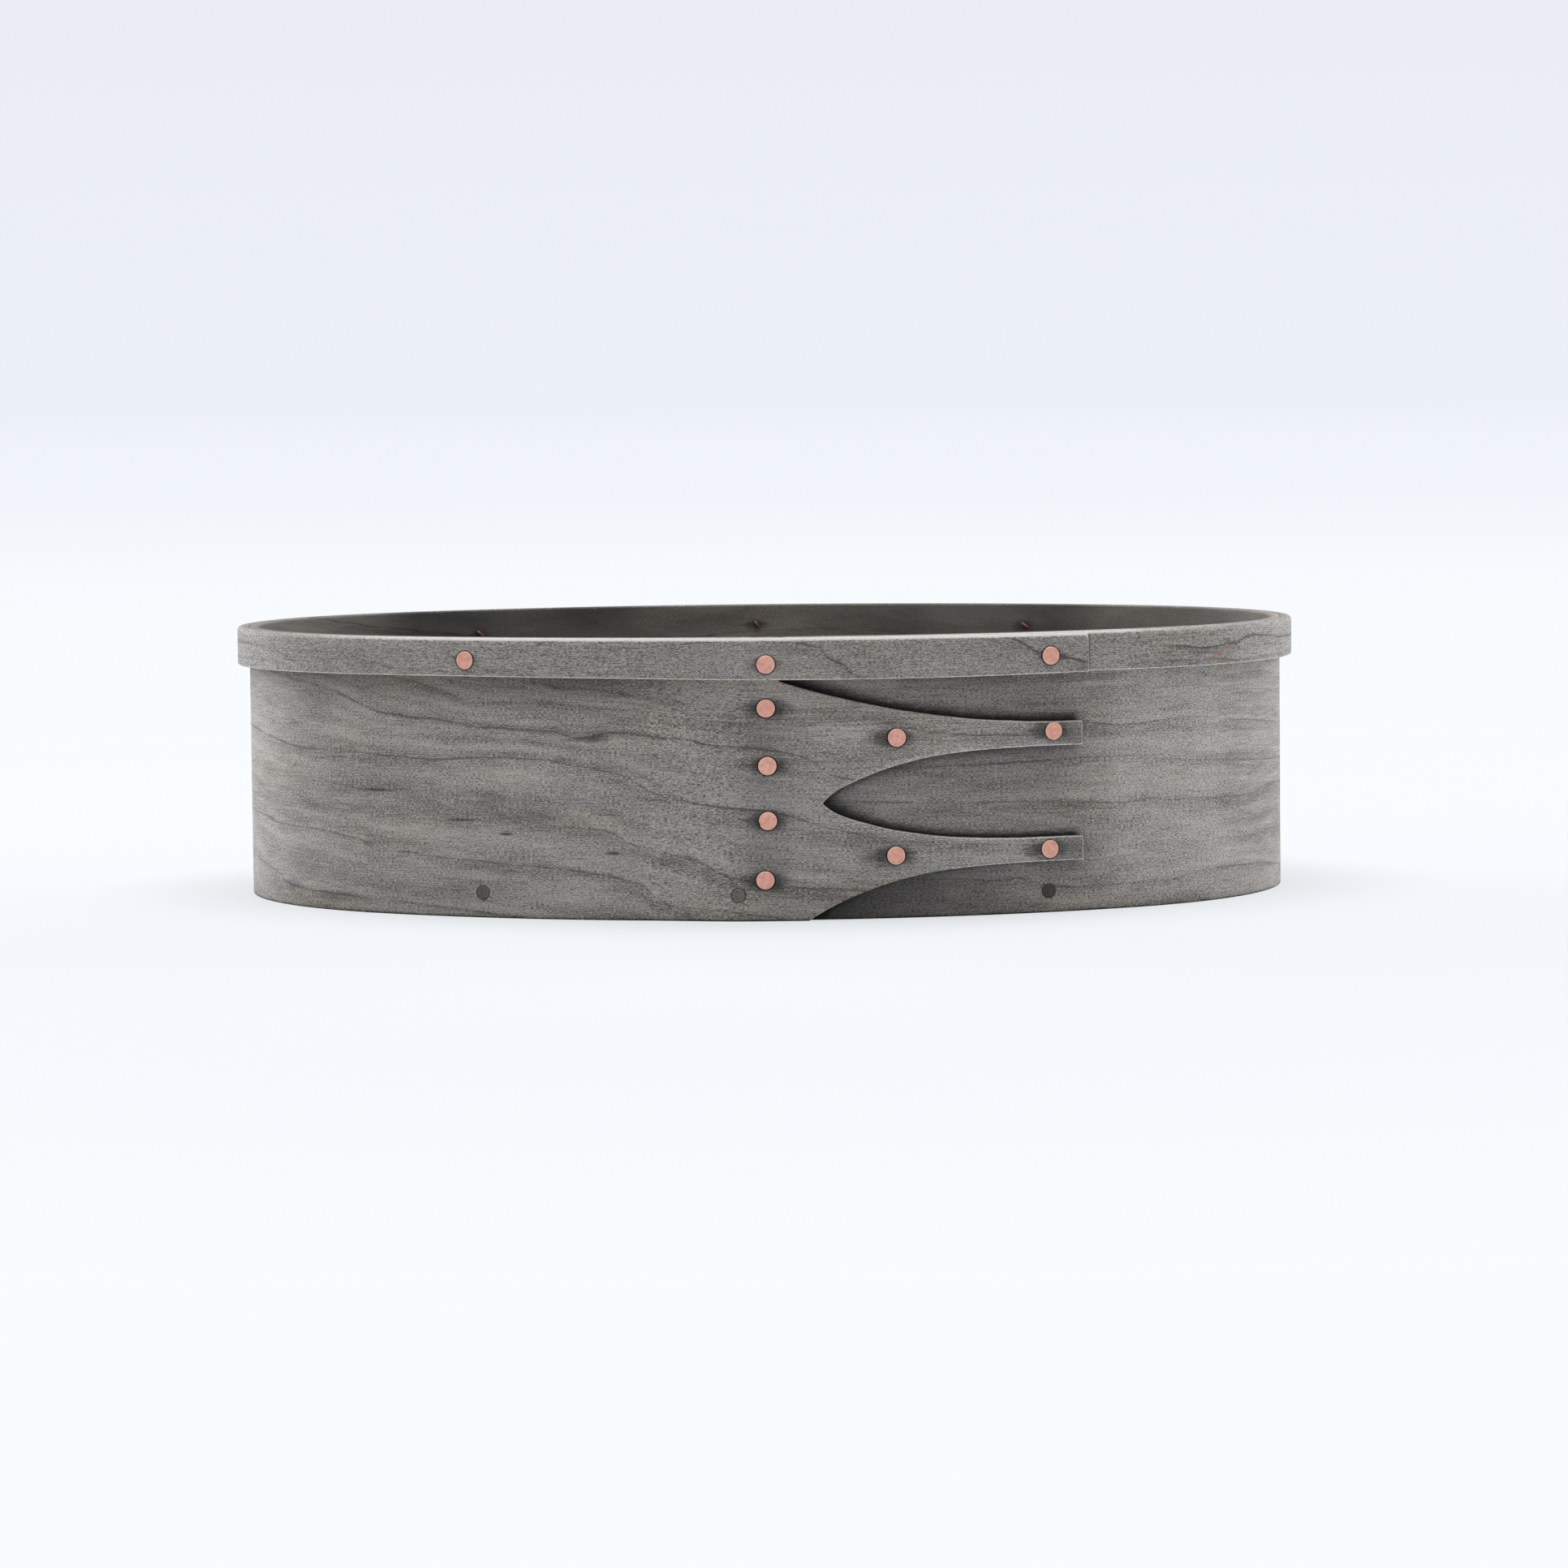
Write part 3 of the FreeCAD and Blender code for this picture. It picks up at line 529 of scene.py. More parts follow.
# Growth rings of the wall: each line's height along the strip, from its feathered inner end round to
# the finger tips, and how plainly it shows there
wallLines = [
    {"height": [(-20, -9), (750, -12)], "shows": [(0, 0)]},
    {
        "height": [
            (-20, 9), (38, 8.9), (56, 7.8), (61, 8.2), (69, 5.9), (92, 5.8), (98, 5.5), (110, 7.4),
            (127, 7.6), (162, 5.2), (210, 7), (260, 4.5), (320, 8), (380, 5), (450, 9.5), (505, 11),
            (538, 7.7), (542, 5.7), (548, 4.5), (565, 3.8), (594, 2.1), (640, -2), (745, -6),
        ],
        "shows": [(20, 0.3), (60, 0.8), (160, 0.9), (260, 0.5), (440, 0.7), (540, 0.9), (600, 0.8)],
    },
    {
        "height": [
            (-20, 16), (60, 16.5), (110, 15.5), (162, 14), (210, 16), (260, 12.5), (320, 17), (380, 13),
            (450, 18), (500, 20.5), (530, 20.3), (538, 19.2), (556, 18.7), (568, 17.3), (572.5, 16.4),
            (575, 14.4), (583, 14.5), (592, 13.5), (613, 12.2), (629, 10.8), (637, 9.3), (642, 7.9),
            (644.5, 5), (649, 3.1), (660, 2.2), (667, 1.2), (700, -3), (745, -5),
        ],
        "shows": [
            (60, 0), (130, 0.15), (200, 0.6), (300, 0.8), (420, 0.5), (530, 0.9), (600, 0.7), (668, 0.9),
        ],
    },
    {
        "height": [
            (-20, 26.5), (28, 26.2), (50, 25.4), (61, 25.4), (79, 24.5), (87, 23.9), (92.4, 24.8),
            (99, 24.1), (131, 23.5), (139, 25), (153, 24.9), (190, 22), (250, 25), (320, 27), (380, 22),
            (450, 26), (500, 28), (530, 27), (560, 26.5), (583, 26.5), (596, 24.8), (609, 23.3),
            (618, 21.4), (633, 20.2), (636, 19.2), (638, 17.4), (645, 15.7), (655, 13), (660, 10.2),
            (666, 8.7), (680, 7), (745, 5),
        ],
        "shows": [
            (20, 0.6), (150, 0.9), (260, 0.4), (450, 0.7), (540, 0.2), (600, 0.2), (612, 0.7), (670, 0.8),
        ],
    },
    {
        "height": [
            (-20, 33.5), (43, 33.8), (62, 34.3), (88, 34.8), (94, 34), (107, 32.7), (122, 31.9),
            (162, 30), (200, 32), (260, 29), (320, 34), (380, 31), (440, 36), (490, 41), (526, 39.8),
            (543, 37.8), (550, 37), (574, 36.5), (595, 35.7), (604, 36.5), (617, 36.3), (629, 34.6),
            (638, 32.3), (645, 28.5), (650, 27.2), (658, 25.8), (672, 24.3), (682, 21), (700, 17.5),
            (745, 15),
        ],
        "shows": [
            (20, 0.6), (80, 0.9), (180, 0.7), (300, 0.4), (420, 0.7), (600, 0.9), (665, 0.9), (700, 0.3),
        ],
    },
    {
        "height": [
            (-20, 42), (77, 43.3), (80, 42.4), (88, 41.8), (99, 42.6), (107, 42.8), (118, 41.7),
            (137, 40.3), (162, 38.5), (200, 41), (260, 38), (320, 43), (380, 40), (440, 46), (490, 52),
            (530, 55), (545, 53.6), (565, 50.4), (572.5, 47.6), (577, 46.2), (583, 45.5), (594, 44.7),
            (604, 43.3), (621, 42.4), (628, 40.9), (634.5, 42.3), (650, 41.2), (661, 39.4), (672, 38.3),
            (679.5, 36), (681.5, 34.2), (684, 32.6), (689, 31.5), (745, 28),
        ],
        "shows": [(20, 0.4), (90, 0.8), (180, 0.7), (300, 0.8), (420, 0.5), (560, 0.9), (690, 1.0)],
    },
    {
        "height": [
            (-20, 48), (80, 49), (162, 46), (200, 48), (260, 45), (320, 51), (380, 48), (440, 54),
            (490, 59), (530, 60.5), (580, 54.5), (595, 51.4), (598, 50), (604, 49.1), (624, 48.6),
            (639, 47.6), (645, 46.3), (658, 44.9), (672, 44.1), (689, 43.8), (696, 44.1), (702.5, 42.5),
            (708, 41.6), (715, 40.9), (745, 40),
        ],
        "shows": [
            (60, 0.0), (150, 0.2), (220, 0.7), (330, 0.5), (480, 0.7), (590, 0.6), (720, 0.8), (745, 0.2),
        ],
    },
    {
        "height": [
            (-20, 55), (102, 54), (109, 52.4), (120, 51.3), (131, 51.4), (162, 49.6), (200, 53),
            (260, 51), (320, 57), (380, 54), (440, 60), (490, 66), (580, 60), (600, 54.6), (610, 53.6),
            (627, 51.5), (642, 50.1), (649, 49), (672, 47.5), (700, 46.8), (745, 45),
        ],
        "shows": [
            (60, 0.2), (110, 0.8), (200, 0.7), (300, 0.3), (400, 0.8), (600, 0.3), (630, 0.7), (680, 0.3),
        ],
    },
    {"height": [(-20, 75), (750, 78)], "shows": [(0, 0)]},
]
rimLines = [
    {"height": [(0, 50), (750, 49)], "shows": [(0, 0)]},
    {
        "height": [
            (0, 57), (90, 56.5), (108, 56), (113, 55.7), (125, 55.2), (160, 56), (230, 54.8), (320, 56.5),
            (420, 55), (520, 57), (600, 55), (680, 53), (745, 52),
        ],
        "shows": [(90, 0), (108, 0.8), (118, 0.8), (126, 0.2), (200, 0.6), (300, 0.2), (400, 0.7), (560, 0)],
    },
    {
        "height": [
            (0, 60), (101, 59.1), (107, 58.3), (113, 58.7), (116.5, 59.4), (119.3, 58.8), (121, 59.7),
            (126, 60.7), (134, 60.2), (144, 59.3), (200, 60.5), (280, 58.5), (350, 61), (430, 58.6),
            (520, 60.5), (600, 59), (664, 63), (676, 62.3), (680, 61.6), (682, 61), (682.6, 59.2),
            (684, 58), (686.2, 57.5), (686.8, 56), (688.2, 55), (690, 53.9), (745, 53),
        ],
        "shows": [
            (95, 0), (102, 0.9), (145, 0.8), (180, 0.3), (300, 0.7), (500, 0.5), (600, 0),
            (664, 0.5), (692, 1),
        ],
    },
    {
        "height": [
            (0, 64), (300, 65), (420, 62.8), (500, 64.5), (600, 67), (700, 66), (718, 63.6), (722.5, 62.5),
            (725, 61.8), (726.5, 60.7), (728, 59.5), (731, 58.8), (735, 58), (741, 56.4), (745, 56),
        ],
        "shows": [(300, 0.2), (430, 0.6), (700, 0.2), (722, 1), (745, 1)],
    },
    {"height": [(0, 72), (700, 74), (745, 64)], "shows": [(0, 0)]},
]


def figureOf(lines):
    # Whole numbers lie on the growth lines; with it go how plainly the nearest line shows, and how far
    # apart the lines are there
    known = {}
    closest = 0.8

    def figure(along, height):
        if along not in known:
            known[along] = [[through(line[part], along) for line in lines] for part in ("height", "shows")]
        heights, shows = known[along]
        index = 0
        while index < len(lines) - 2 and height >= heights[index + 1]:
            index += 1
        gap = max(heights[index + 1] - heights[index], closest)
        part = (height - heights[index]) / gap
        return Vector((index + part, shows[index] if part < 0.5 else shows[index + 1], gap))

    return figure


# The wall: one strip of maple, its feathered inner end under the two swallowtail fingers
wall = {
    "innerEnd": -16.0,
    "fingerHalf": 2.7,
    "upperFinger": 40.6,
    "lowerFinger": 14.55,
    "crotch": (15.8, 26.25),
    "crotchOpening": 1.0,
    "upperShoulder": (6.6, 53.65),
    "lowerShoulder": 12.7,
    "sweepPower": 3.5,
    "shoulderPower": 2.2,
    "ragged": (0.9, 0.05),  # length and size of the roughness of the cut, and of its slower wandering
    "wander": (6, 0.08),
    "calmEnds": 12,
    "tipUnrest": 0.3,
    "openingSpeed": 14,
    "openingPower": 2.2,
    "ripple": 0.05,
    "edgeReach": 0.2,
}


def sweptEdge(tipHeight, root, power, seed, opening=0.0):
    # The two edges that meet in the crotch open quickly there
    def height(along):
        part = min(max((along - girth - root[0]) / (lap["outerEnd"] - root[0]), 0), 1)
        clean = tipHeight + (root[1] + opening - tipHeight) * (1 - part) ** power
        clean -= opening * max(1 - part * wall["openingSpeed"], 0) ** wall["openingPower"]
        calm = min(part * wall["calmEnds"], 1) * min((1 - part) * wall["calmEnds"] + wall["tipUnrest"], 1)
        return clean + (waver(seed, along, *wall["ragged"]) + waver(seed + 1, along, *wall["wander"])) * calm
    return height


half = wall["fingerHalf"]
opening = wall["crotchOpening"]
crotchAlong, crotchHeight = wall["crotch"]
shoulderAlong, shoulderHeight = wall["upperShoulder"]
aboveUpper = sweptEdge(wall["upperFinger"] + half, wall["upperShoulder"], wall["shoulderPower"], 1)
belowUpper = sweptEdge(wall["upperFinger"] - half, wall["crotch"], wall["sweepPower"], 3, opening)
aboveLower = sweptEdge(wall["lowerFinger"] + half, wall["crotch"], wall["sweepPower"], 5, -opening)
belowLower = sweptEdge(wall["lowerFinger"] - half, (wall["lowerShoulder"], 0), wall["sweepPower"], 7)

# Places of the columns, and how far apart they lie from there on
wallColumns = spread([
    (wall["innerEnd"], 1.0),
    (lap["rampEnd"], 1.8),
    (girth + lap["rampStart"], 1.2),
    (girth + shoulderAlong, 0.7),
    (girth + wall["lowerShoulder"], 0.6),
    (girth + crotchAlong, 0.55),
    (girth + lap["outerEnd"], 0),
])
collarColumns = [along for along in wallColumns if along <= girth + shoulderAlong + hair]


def wallInner(along):
    return wallLift(along - girth) if along > girth + lap["rampStart"] else 0.0


def wallOuter(along):
    if along < lap["rampEnd"]:
        return wallLift(along) - lap["layerGap"]
    return lap["wallThickness"] + wallInner(along)


# Arrises: how round they are outside and inside, and how worn
wallArrises = {
    "top": {"outer": 0.25, "inner": 0.45, "wear": 0.15},
    "foot": {"outer": 0.3, "inner": 0.3, "wear": 0.15},
    "innerEnd": {"outer": 0.15, "inner": 0.1, "wear": 0.2},
    "tips": {"outer": 0.28, "inner": 0.1, "wear": 1.0},
    "fingers": {"outer": 0.28, "inner": 0.1, "wear": 0.85},
    "crotch": {"outer": 0.28, "inner": 0.1, "wear": 0.58},
    "shoulders": {"outer": 0.28, "inner": 0.1, "wear": 0.35},
}
fingersFrom = 45
crotchReach = 12.5


def wallArris(along, height):
    beyond = along - girth
    if height > boxHeight - wall["edgeReach"]:
        return wallArrises["top"]
    if height < wall["edgeReach"]:
        return wallArrises["foot"]
    if along < wall["innerEnd"] + wall["edgeReach"]:
        return wallArrises["innerEnd"]
    if beyond > lap["outerEnd"] - wall["edgeReach"]:
        return wallArrises["tips"]
    if beyond > fingersFrom:
        return wallArrises["fingers"]
    return wallArrises["crotch" if abs(height - crotchHeight) < crotchReach else "shoulders"]


# Rubbed pale: the edges of the gap between the fingers, and the wall past the finger tips
rub = {
    "pastTips": {"most": 0.38, "start": (76, 88), "end": (112, 135), "foot": (-4, 4)},
    "upper": {"most": 0.5, "start": (12, 26), "calmer": (45, 75), "reach": 1.7},
    "lower": {"most": 0.3, "start": 24, "reach": 0.8},
}


def fingerRub(along, height):
    beyond = along - girth
    if beyond < 0:
        past = rub["pastTips"]
        most = past["most"] * smoothStep(*past["foot"], height)
        return most * smoothStep(*past["start"], along) * (1 - smoothStep(*past["end"], along))
    upper, lower = rub["upper"], rub["lower"]
    if beyond < crotchAlong or height < crotchHeight and beyond < lower["start"]:
        return 0.0
    if height > crotchHeight:
        stretch = smoothStep(*upper["start"], beyond) * (1 - 0.5 * smoothStep(*upper["calmer"], beyond))
        return upper["most"] * stretch * near(height - belowUpper(along), upper["reach"])
    return lower["most"] * near(aboveLower(along) - height, lower["reach"])


def fingerGaps(along, height):
    # On the layer under the fingers: how far above, under and between them a place lies
    beyond = along + girth
    hidden = -9.0
    return (
        height - aboveUpper(beyond) if along > shoulderAlong else hidden,
        belowLower(beyond) - height if along > wall["lowerShoulder"] else hidden,
        belowUpper(beyond) - height if along > crotchAlong else hidden,
        height - aboveLower(beyond) if along > crotchAlong else hidden,
    )


# Dirt and painted shade of the wall: "dark" says how dark it is and "reach" how far it goes
wallDirtAndShade = {
    "foot": {"dark": 0.35, "reach": 0.4},
    "underRim": {"dark": 0.15, "reach": 11, "left": 0.3, "leftStart": (-2, -30), "leftEnd": (-200, -120)},
    "rimShade": {"dark": 0.62, "middle": 46, "half": 12, "reach": 6, "down": 6.5},
    "tackRow": {"dark": 0.3, "along": 3, "width": 7, "middle": 28, "half": 20, "reach": 3},
    "tips": {"dark": 0.34, "start": (63, 71)},
    "fingersEnd": 84,
    "fade": (68, 80),
    "halo": {"dark": 0.4, "along": 74.5, "start": (60, 72), "sideways": 4, "reach": 1.5},
    "above": {"dark": 0.27, "corner": 0.5, "reach": 7, "along": 20, "sideways": 16},
    "under": {"paler": 0.18, "start": (2, 7)},
    "gap": {"dark": 0.18, "edge": 0.42, "reach": 3.5, "crotch": 0.9, "crotchReach": 5},
    "overlap": -2,
}
# How dark the painted shade, partly stain, on the strip under the lower finger is, along it
underDark = [(12, 0.95), (24, 0.82), (31.5, 0.74), (41, 0.66), (50, 0.48), (60, 0.26), (69, 0.12), (78, 0.0)]


def wallGrimeAndShade(along, height):
    # Dark at the foot, under the rim on the left, along the row of tacks, and round the fingers: painted
    # shade at the foot, under the rim and round the fingers, partly dirt, and dirt along the row of tacks and
    # on the tips
    front = fromFront(along)
    down = rimEdge - height
    foot, rimDirt, shade = wallDirtAndShade["foot"], wallDirtAndShade["underRim"], wallDirtAndShade["rimShade"]
    left = rimDirt["left"] * smoothStep(*rimDirt["leftStart"], front) * smoothStep(*rimDirt["leftEnd"], front)
    shadeAlong = near(abs(along - shade["middle"]) - shade["half"], shade["reach"])
    dark = [
        foot["dark"] * near(height, foot["reach"]),
        (rimDirt["dark"] + left) * (1 - smoothStep(0, rimDirt["reach"], down)),
        shade["dark"] * shadeAlong * (1 - smoothStep(0, shade["down"], down)),
    ]
    if along > girth / 2:
        tacks = wallDirtAndShade["tackRow"]
        beyondTacks = near(abs(height - tacks["middle"]) - tacks["half"], tacks["reach"])
        dark.append(tacks["dark"] * math.exp(-((front - tacks["along"]) / tacks["width"]) ** 2) * beyondTacks)
        if along > girth:
            dark.append(wallDirtAndShade["tips"]["dark"] * smoothStep(*wallDirtAndShade["tips"]["start"], front))
    if 0 < along < wallDirtAndShade["fingersEnd"]:
        above, under, fromTop, fromBase = fingerGaps(along, height)
        fade = 1 - smoothStep(*wallDirtAndShade["fade"], along)
        fromFingers = min(max(above, fromTop), max(under, fromBase))
        halo, over, gap = wallDirtAndShade["halo"], wallDirtAndShade["above"], wallDirtAndShade["gap"]
        haloAlong = near(along - halo["along"], halo["sideways"]) * smoothStep(*halo["start"], along)
        dark.append(halo["dark"] * haloAlong * near(fromFingers, halo["reach"]))
        if above > wallDirtAndShade["overlap"]:
            corner = near(above, over["reach"]) * near(along - over["along"], over["sideways"])
            dark += [fade * over["dark"], over["corner"] * corner]
        if under > wallDirtAndShade["overlap"]:
            paler = wallDirtAndShade["under"]["paler"] * smoothStep(*wallDirtAndShade["under"]["start"], under)
            dark.append(through(underDark, along) * (1 - paler))
        if min(fromTop, fromBase) > wallDirtAndShade["overlap"]:
            dark.append(fade * (gap["dark"] + gap["edge"] * near(fromTop, gap["reach"])))
            dark.append(gap["crotch"] * near(along - crotchAlong, gap["crotchReach"]))
    return min(max(dark), 1.0)


# Painted shade lines, partly dirt, along the finger edges: how dark, how much darker near the root, how wide,
# how much wider near the root, where the root's share starts to fade and how far it reaches
edgeShadeLines = {
    "above": (1.0, 0.0, 1.75, 1.3, 12, 6),
    "under": (0.35, 1.0, 0.7, 2.0, 14, 6),
    "fromTop": (0.4, 0.5, 1.3, 0.0, 16, 7),
    "fromBase": (1.0, 0.0, 1.45, 1.6, 20, 8),
}
tipFade = (74, 77)
# Painted contact shade along the foot: how dark, how wide
footShadeLine = {"inLap": (0.95, 0.42), "elsewhere": (0.9, 0.45)}


def fingerEdge(along, height):
    # How far it is to the nearest finger edge, how dark the painted shade line along that edge is, and how
    # wide
    if not 0 < along < wallDirtAndShade["fingersEnd"]:
        return Vector((height, *footShadeLine["elsewhere"]))
    tip = 1 - smoothStep(*tipFade, along)
    edges = []
    for gap, (dark, darker, width, wider, start, reach) in zip(fingerGaps(along, height), edgeShadeLines.values()):
        root = near(along - start, reach)
        edges.append((gap, tip * (dark + darker * root), width + wider * root))
    edges.append((height, *footShadeLine["inLap"]))
    return Vector(min(edges, key=lambda edge: abs(edge[0])))


# How dark the painted shade of the inside is along the strip, most of all at the back on the left
insideDark = [
    (0, 0.5), (150, 0.55), (218, 0.62), (235, 0.57), (248, 0.53), (261, 0.76), (274, 0.7), (287, 0.62),
    (300, 0.74), (312, 0.6), (324, 0.51), (349, 0.5), (362, 0.6), (374, 0.8), (400, 0.8), (413, 0.87),
    (429, 0.87), (445, 0.68), (468, 0.62), (520, 0.55), (666, 0.5),
]

backShade = {"middle": 0.57, "from": 0.61, "low": 0.3, "heights": (25, 52)}


def insideShade(along, height):
    # Painted shade of the inside; along its foot the differences are slighter
    share = backShade["low"] + (1 - backShade["low"]) * smoothStep(*backShade["heights"], height)
    return backShade["middle"] + (through(insideDark, along) - backShade["from"]) * share


wallSeats = []
wallStains = []
wallShadeRings = []
# How dark the ring of painted shade, partly stain, round each tack, peg and rim tack is
seatShadeDepth = {"tack": 0.88, "peg": 0.75, "rim": 0.6}
underRimTack = {"drop": 0.8, "radius": 1.2}
for name, place in tackPlaces.items():
    if name.startswith("wall"):
        spot = stripPlace(place, True)
        wallStains.append((*spot, tack["headRadius"], *tack["bleeding"][name]))
        wallShadeRings.append((*spot, tack["headRadius"], seatShadeDepth["tack"]))
        if name not in fingerTipTacks:
            wallSeats.append(seatOf(spot, tack, tack["headRadius"]))
    else:
        along, height = stripPlace(place, False)
        height -= underRimTack["drop"]
        wallStains.append((along, height, underRimTack["radius"], *tack["rimBleeding"]))
for place in pegPlaces.values():
    spot = stripPlace(place, False)
    wallSeats.append(seatOf(spot, peg, peg["radius"]))
    wallShadeRings.append((*spot, peg["radius"], seatShadeDepth["peg"]))

wallStrip = buildStrip("wall_strip", {
    "blocks": [
        {
            "columns": wallColumns,
            "rows": 16,
            "low": lambda along: belowLower(along) if along > girth + wall["lowerShoulder"] else 0.0,
            "high": lambda along: aboveLower(along) if along > girth + crotchAlong else crotchHeight,
        },
        {
            "columns": wallColumns,
            "rows": 17,
            "low": lambda along: belowUpper(along) if along > girth + crotchAlong else crotchHeight,
            "high": lambda along: aboveUpper(along) if along > girth + shoulderAlong else shoulderHeight,
        },
        {
            "columns": collarColumns,
            "rows": 6,
            "low": lambda along: shoulderHeight,
            "high": lambda along: boxHeight,
        },
    ],
    "outerFace": wallOuter,
    "innerFace": wallInner,
    "arris": wallArris,
    "edgeSteps": 3,
    "seats": wallSeats,
    "stains": wallStains,
    "figure": figureOf(wallLines),
    "grimeAndShade": wallGrimeAndShade,
    "rubbed": fingerRub,
    "innerGrime": insideShade,
    "edgeLine": fingerEdge,
    "rings": wallShadeRings,
    "ripple": wall["ripple"],
})
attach(wallStrip, "root")
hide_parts("wall_band")
print("wall strip:", len(wallStrip.data.polygons), "faces")

# The rim: a narrower, thicker strip round the top, a little uneven in height
rim = {
    "innerEnd": 7.6,
    "lowerEdge": [
        (0, 0.1), (75, -0.05), (160, 0.05), (260, 0.15), (400, -0.1), (520, 0.1), (590, 0.3), (625, 0.1),
        (670, -0.38), (705, -0.42), (741, -0.05),
    ],
    "outerLayerDrop": 0.17,
    "dropPlace": (20, 75),
    "edgeReach": 1,
    "wornFront": (60, 125),
    "backCalm": 0.75,
    "rubbed": 0.3,
    "rubbedDown": 0.8,
    "rubbedReach": 1.2,
    # painted shade of the inside of the rim
    "innerGrime": 0.3,
    "bleeding": 0.6,
    "ripple": 0.06,
}
rimColumns = spread([
    (rim["innerEnd"], 0.9),
    (lap["levelEnd"], 1.8),
    (girth + lap["rampStart"], 1.2),
    (girth + lap["outerEnd"], 0),
])


def rimInner(along):
    return rimInside + (rimLift(along - girth) if along > girth + lap["rampStart"] else 0.0)


def rimOuter(along):
    if along < lap["levelEnd"]:
        return rimInside + rimLift(along) - lap["layerGap"]
    return lap["rimThickness"] + rimInner(along)


rimArrises = {
    "foot": {"outer": 0.3, "inner": 0.1, "wear": 0.7},
    "ends": {"outer": 0.22, "inner": 0.1, "wear": 0.6},
}


def rimArris(along, height):
    if height > boxHeight - rim["edgeReach"]:
        # The top arris is pale most of all at the front: wear, and a painted sheen where the grazing light
        # catches it
        back = smoothStep(*rim["wornFront"], abs(fromFront(along)))
        return {"outer": 0.8, "inner": 0.2, "wear": 1 - rim["backCalm"] * back}
    return rimArrises["foot" if height < rimEdge + rim["edgeReach"] else "ends"]


def rimRub(along, height):
    return rim["rubbed"] * near(boxHeight - rim["rubbedDown"] - height, rim["rubbedReach"])


def rimTop(along):
    dropStart, dropEnd = rim["dropPlace"]
    return boxHeight - rim["outerLayerDrop"] * smoothStep(girth + dropStart, girth + dropEnd, along)


rimSpots = [stripPlace(place, True) for name, place in tackPlaces.items() if name.startswith("rim")]
headRadius = tack["headRadius"]
rimBled = (headRadius + tack["seatGap"]) * rim["bleeding"]

rimStrip = buildStrip("rim_strip", {
    "blocks": [{
        "columns": rimColumns,
        "rows": 8,
        "low": lambda along: rimEdge + through(rim["lowerEdge"], along),
        "high": rimTop,
    }],
    "outerFace": rimOuter,
    "innerFace": rimInner,
    "arris": rimArris,
    "edgeSteps": 4,
    "seats": [seatOf(spot, tack, headRadius) for spot in rimSpots],
    "stains": [(*spot, rimBled, *tack["rimBleeding"]) for spot in rimSpots],
    "rings": [(*spot, headRadius, seatShadeDepth["rim"]) for spot in rimSpots],
    "figure": figureOf(rimLines),
    "grimeAndShade": lambda along, height: 0.0,
    "rubbed": rimRub,
    "innerGrime": lambda along, height: rim["innerGrime"],
    "ripple": rim["ripple"],
})
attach(rimStrip, "root")
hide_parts("rim_band")
print("rim strip:", len(rimStrip.data.polygons), "faces")


# Turned and bent small pieces are rings of points, joined one to the next
def ringPiece(name, rings, matrix, marks=None, tone=0.0):
    mesh = bmesh.new()
    flat = mesh.verts.layers.float_vector.new("flat")
    figure = mesh.verts.layers.float_vector.new("rings")
    grimeAndShade = mesh.verts.layers.float.new("grimeAndShade")
    joinRings(mesh, [[mesh.verts.new(point) for point in ring] for ring in rings])
    bmesh.ops.recalc_face_normals(mesh, faces=mesh.faces)
    for vert in mesh.verts:
        vert[flat] = vert.co
        vert[figure] = marks(vert.co) if marks else Vector((0, 0, 1))
        vert[grimeAndShade] = tone
        vert.co = matrix @ vert.co
    return smoothed(pieceFrom(mesh, name))


def anglesOf(sides):
    return [2 * math.pi * step / sides for step in range(sides)]


def unevenRing(kind, seed):
    # The directions round a circle, and how far from round it is in each of them
    ring = []
    for angle in anglesOf(kind["sides"]):
        way = Vector((math.cos(angle), math.sin(angle), 0))
        ring.append((angle, way, 1 + kind["uneven"] * noise.noise(way * kind["lumps"] + seed)))
    return ring


def tackHead(name, seed):
    # Hammered: not quite round, a little dented on top, and one of them nicked
    rings = [[Vector((0, 0, tack["proud"]))]]
    for share, lift in tack["head"]:
        ring = []
        for angle, way, out in unevenRing(tack, Vector((0, 0, seed))):
            if name in tack["nicks"]:
                away = angle - math.radians(tack["nicks"][name])
                out -= tack["nickDepth"] * math.exp(-(away / tack["nickWidth"]) ** 2)
            radius = tack["headRadius"] * min(share * out, 1.0)
            level = lift * tack["proud" if lift >= 0 else "sunk"]
            if lift > tack["topEdge"]:
                dent = noise.noise(way * share * tack["dentLumps"] + Vector((seed * 3.7, 0, 0)))
                level += tack["dents"] * dent
            ring.append(way * radius + Vector((0, 0, min(level, tack["proud"]))))
        rings.append(ring)
    return rings


def shankPath(face, index):
    # Tapered shank, then the point bent over and lying on the inside of the wall
    turn = math.radians(tack["clenchTurn"] + tack["sway"][index])
    side = Vector((math.cos(turn), math.sin(turn), 0))
    down = Vector((0, 0, -1))
    bend = tack["pointRadius"] + tack["bendGap"]
    path = [(down * tack["sunk"], down, tack["shankRadius"]), (down * face, down, tack["pointRadius"])]
    for step in range(tack["bendSteps"]):
        angle = (step + 1) / tack["bendSteps"] * math.pi / 2
        spot = side * bend * (1 - math.cos(angle)) + down * (face + bend * math.sin(angle))
        path.append((spot, side * math.sin(angle) + down * math.cos(angle), tack["pointRadius"]))
    for share, radius in tack["taper"]:
        path.append((side * (bend + tack["clench"] * share) + down * (face + bend), side, radius))
    return path, side


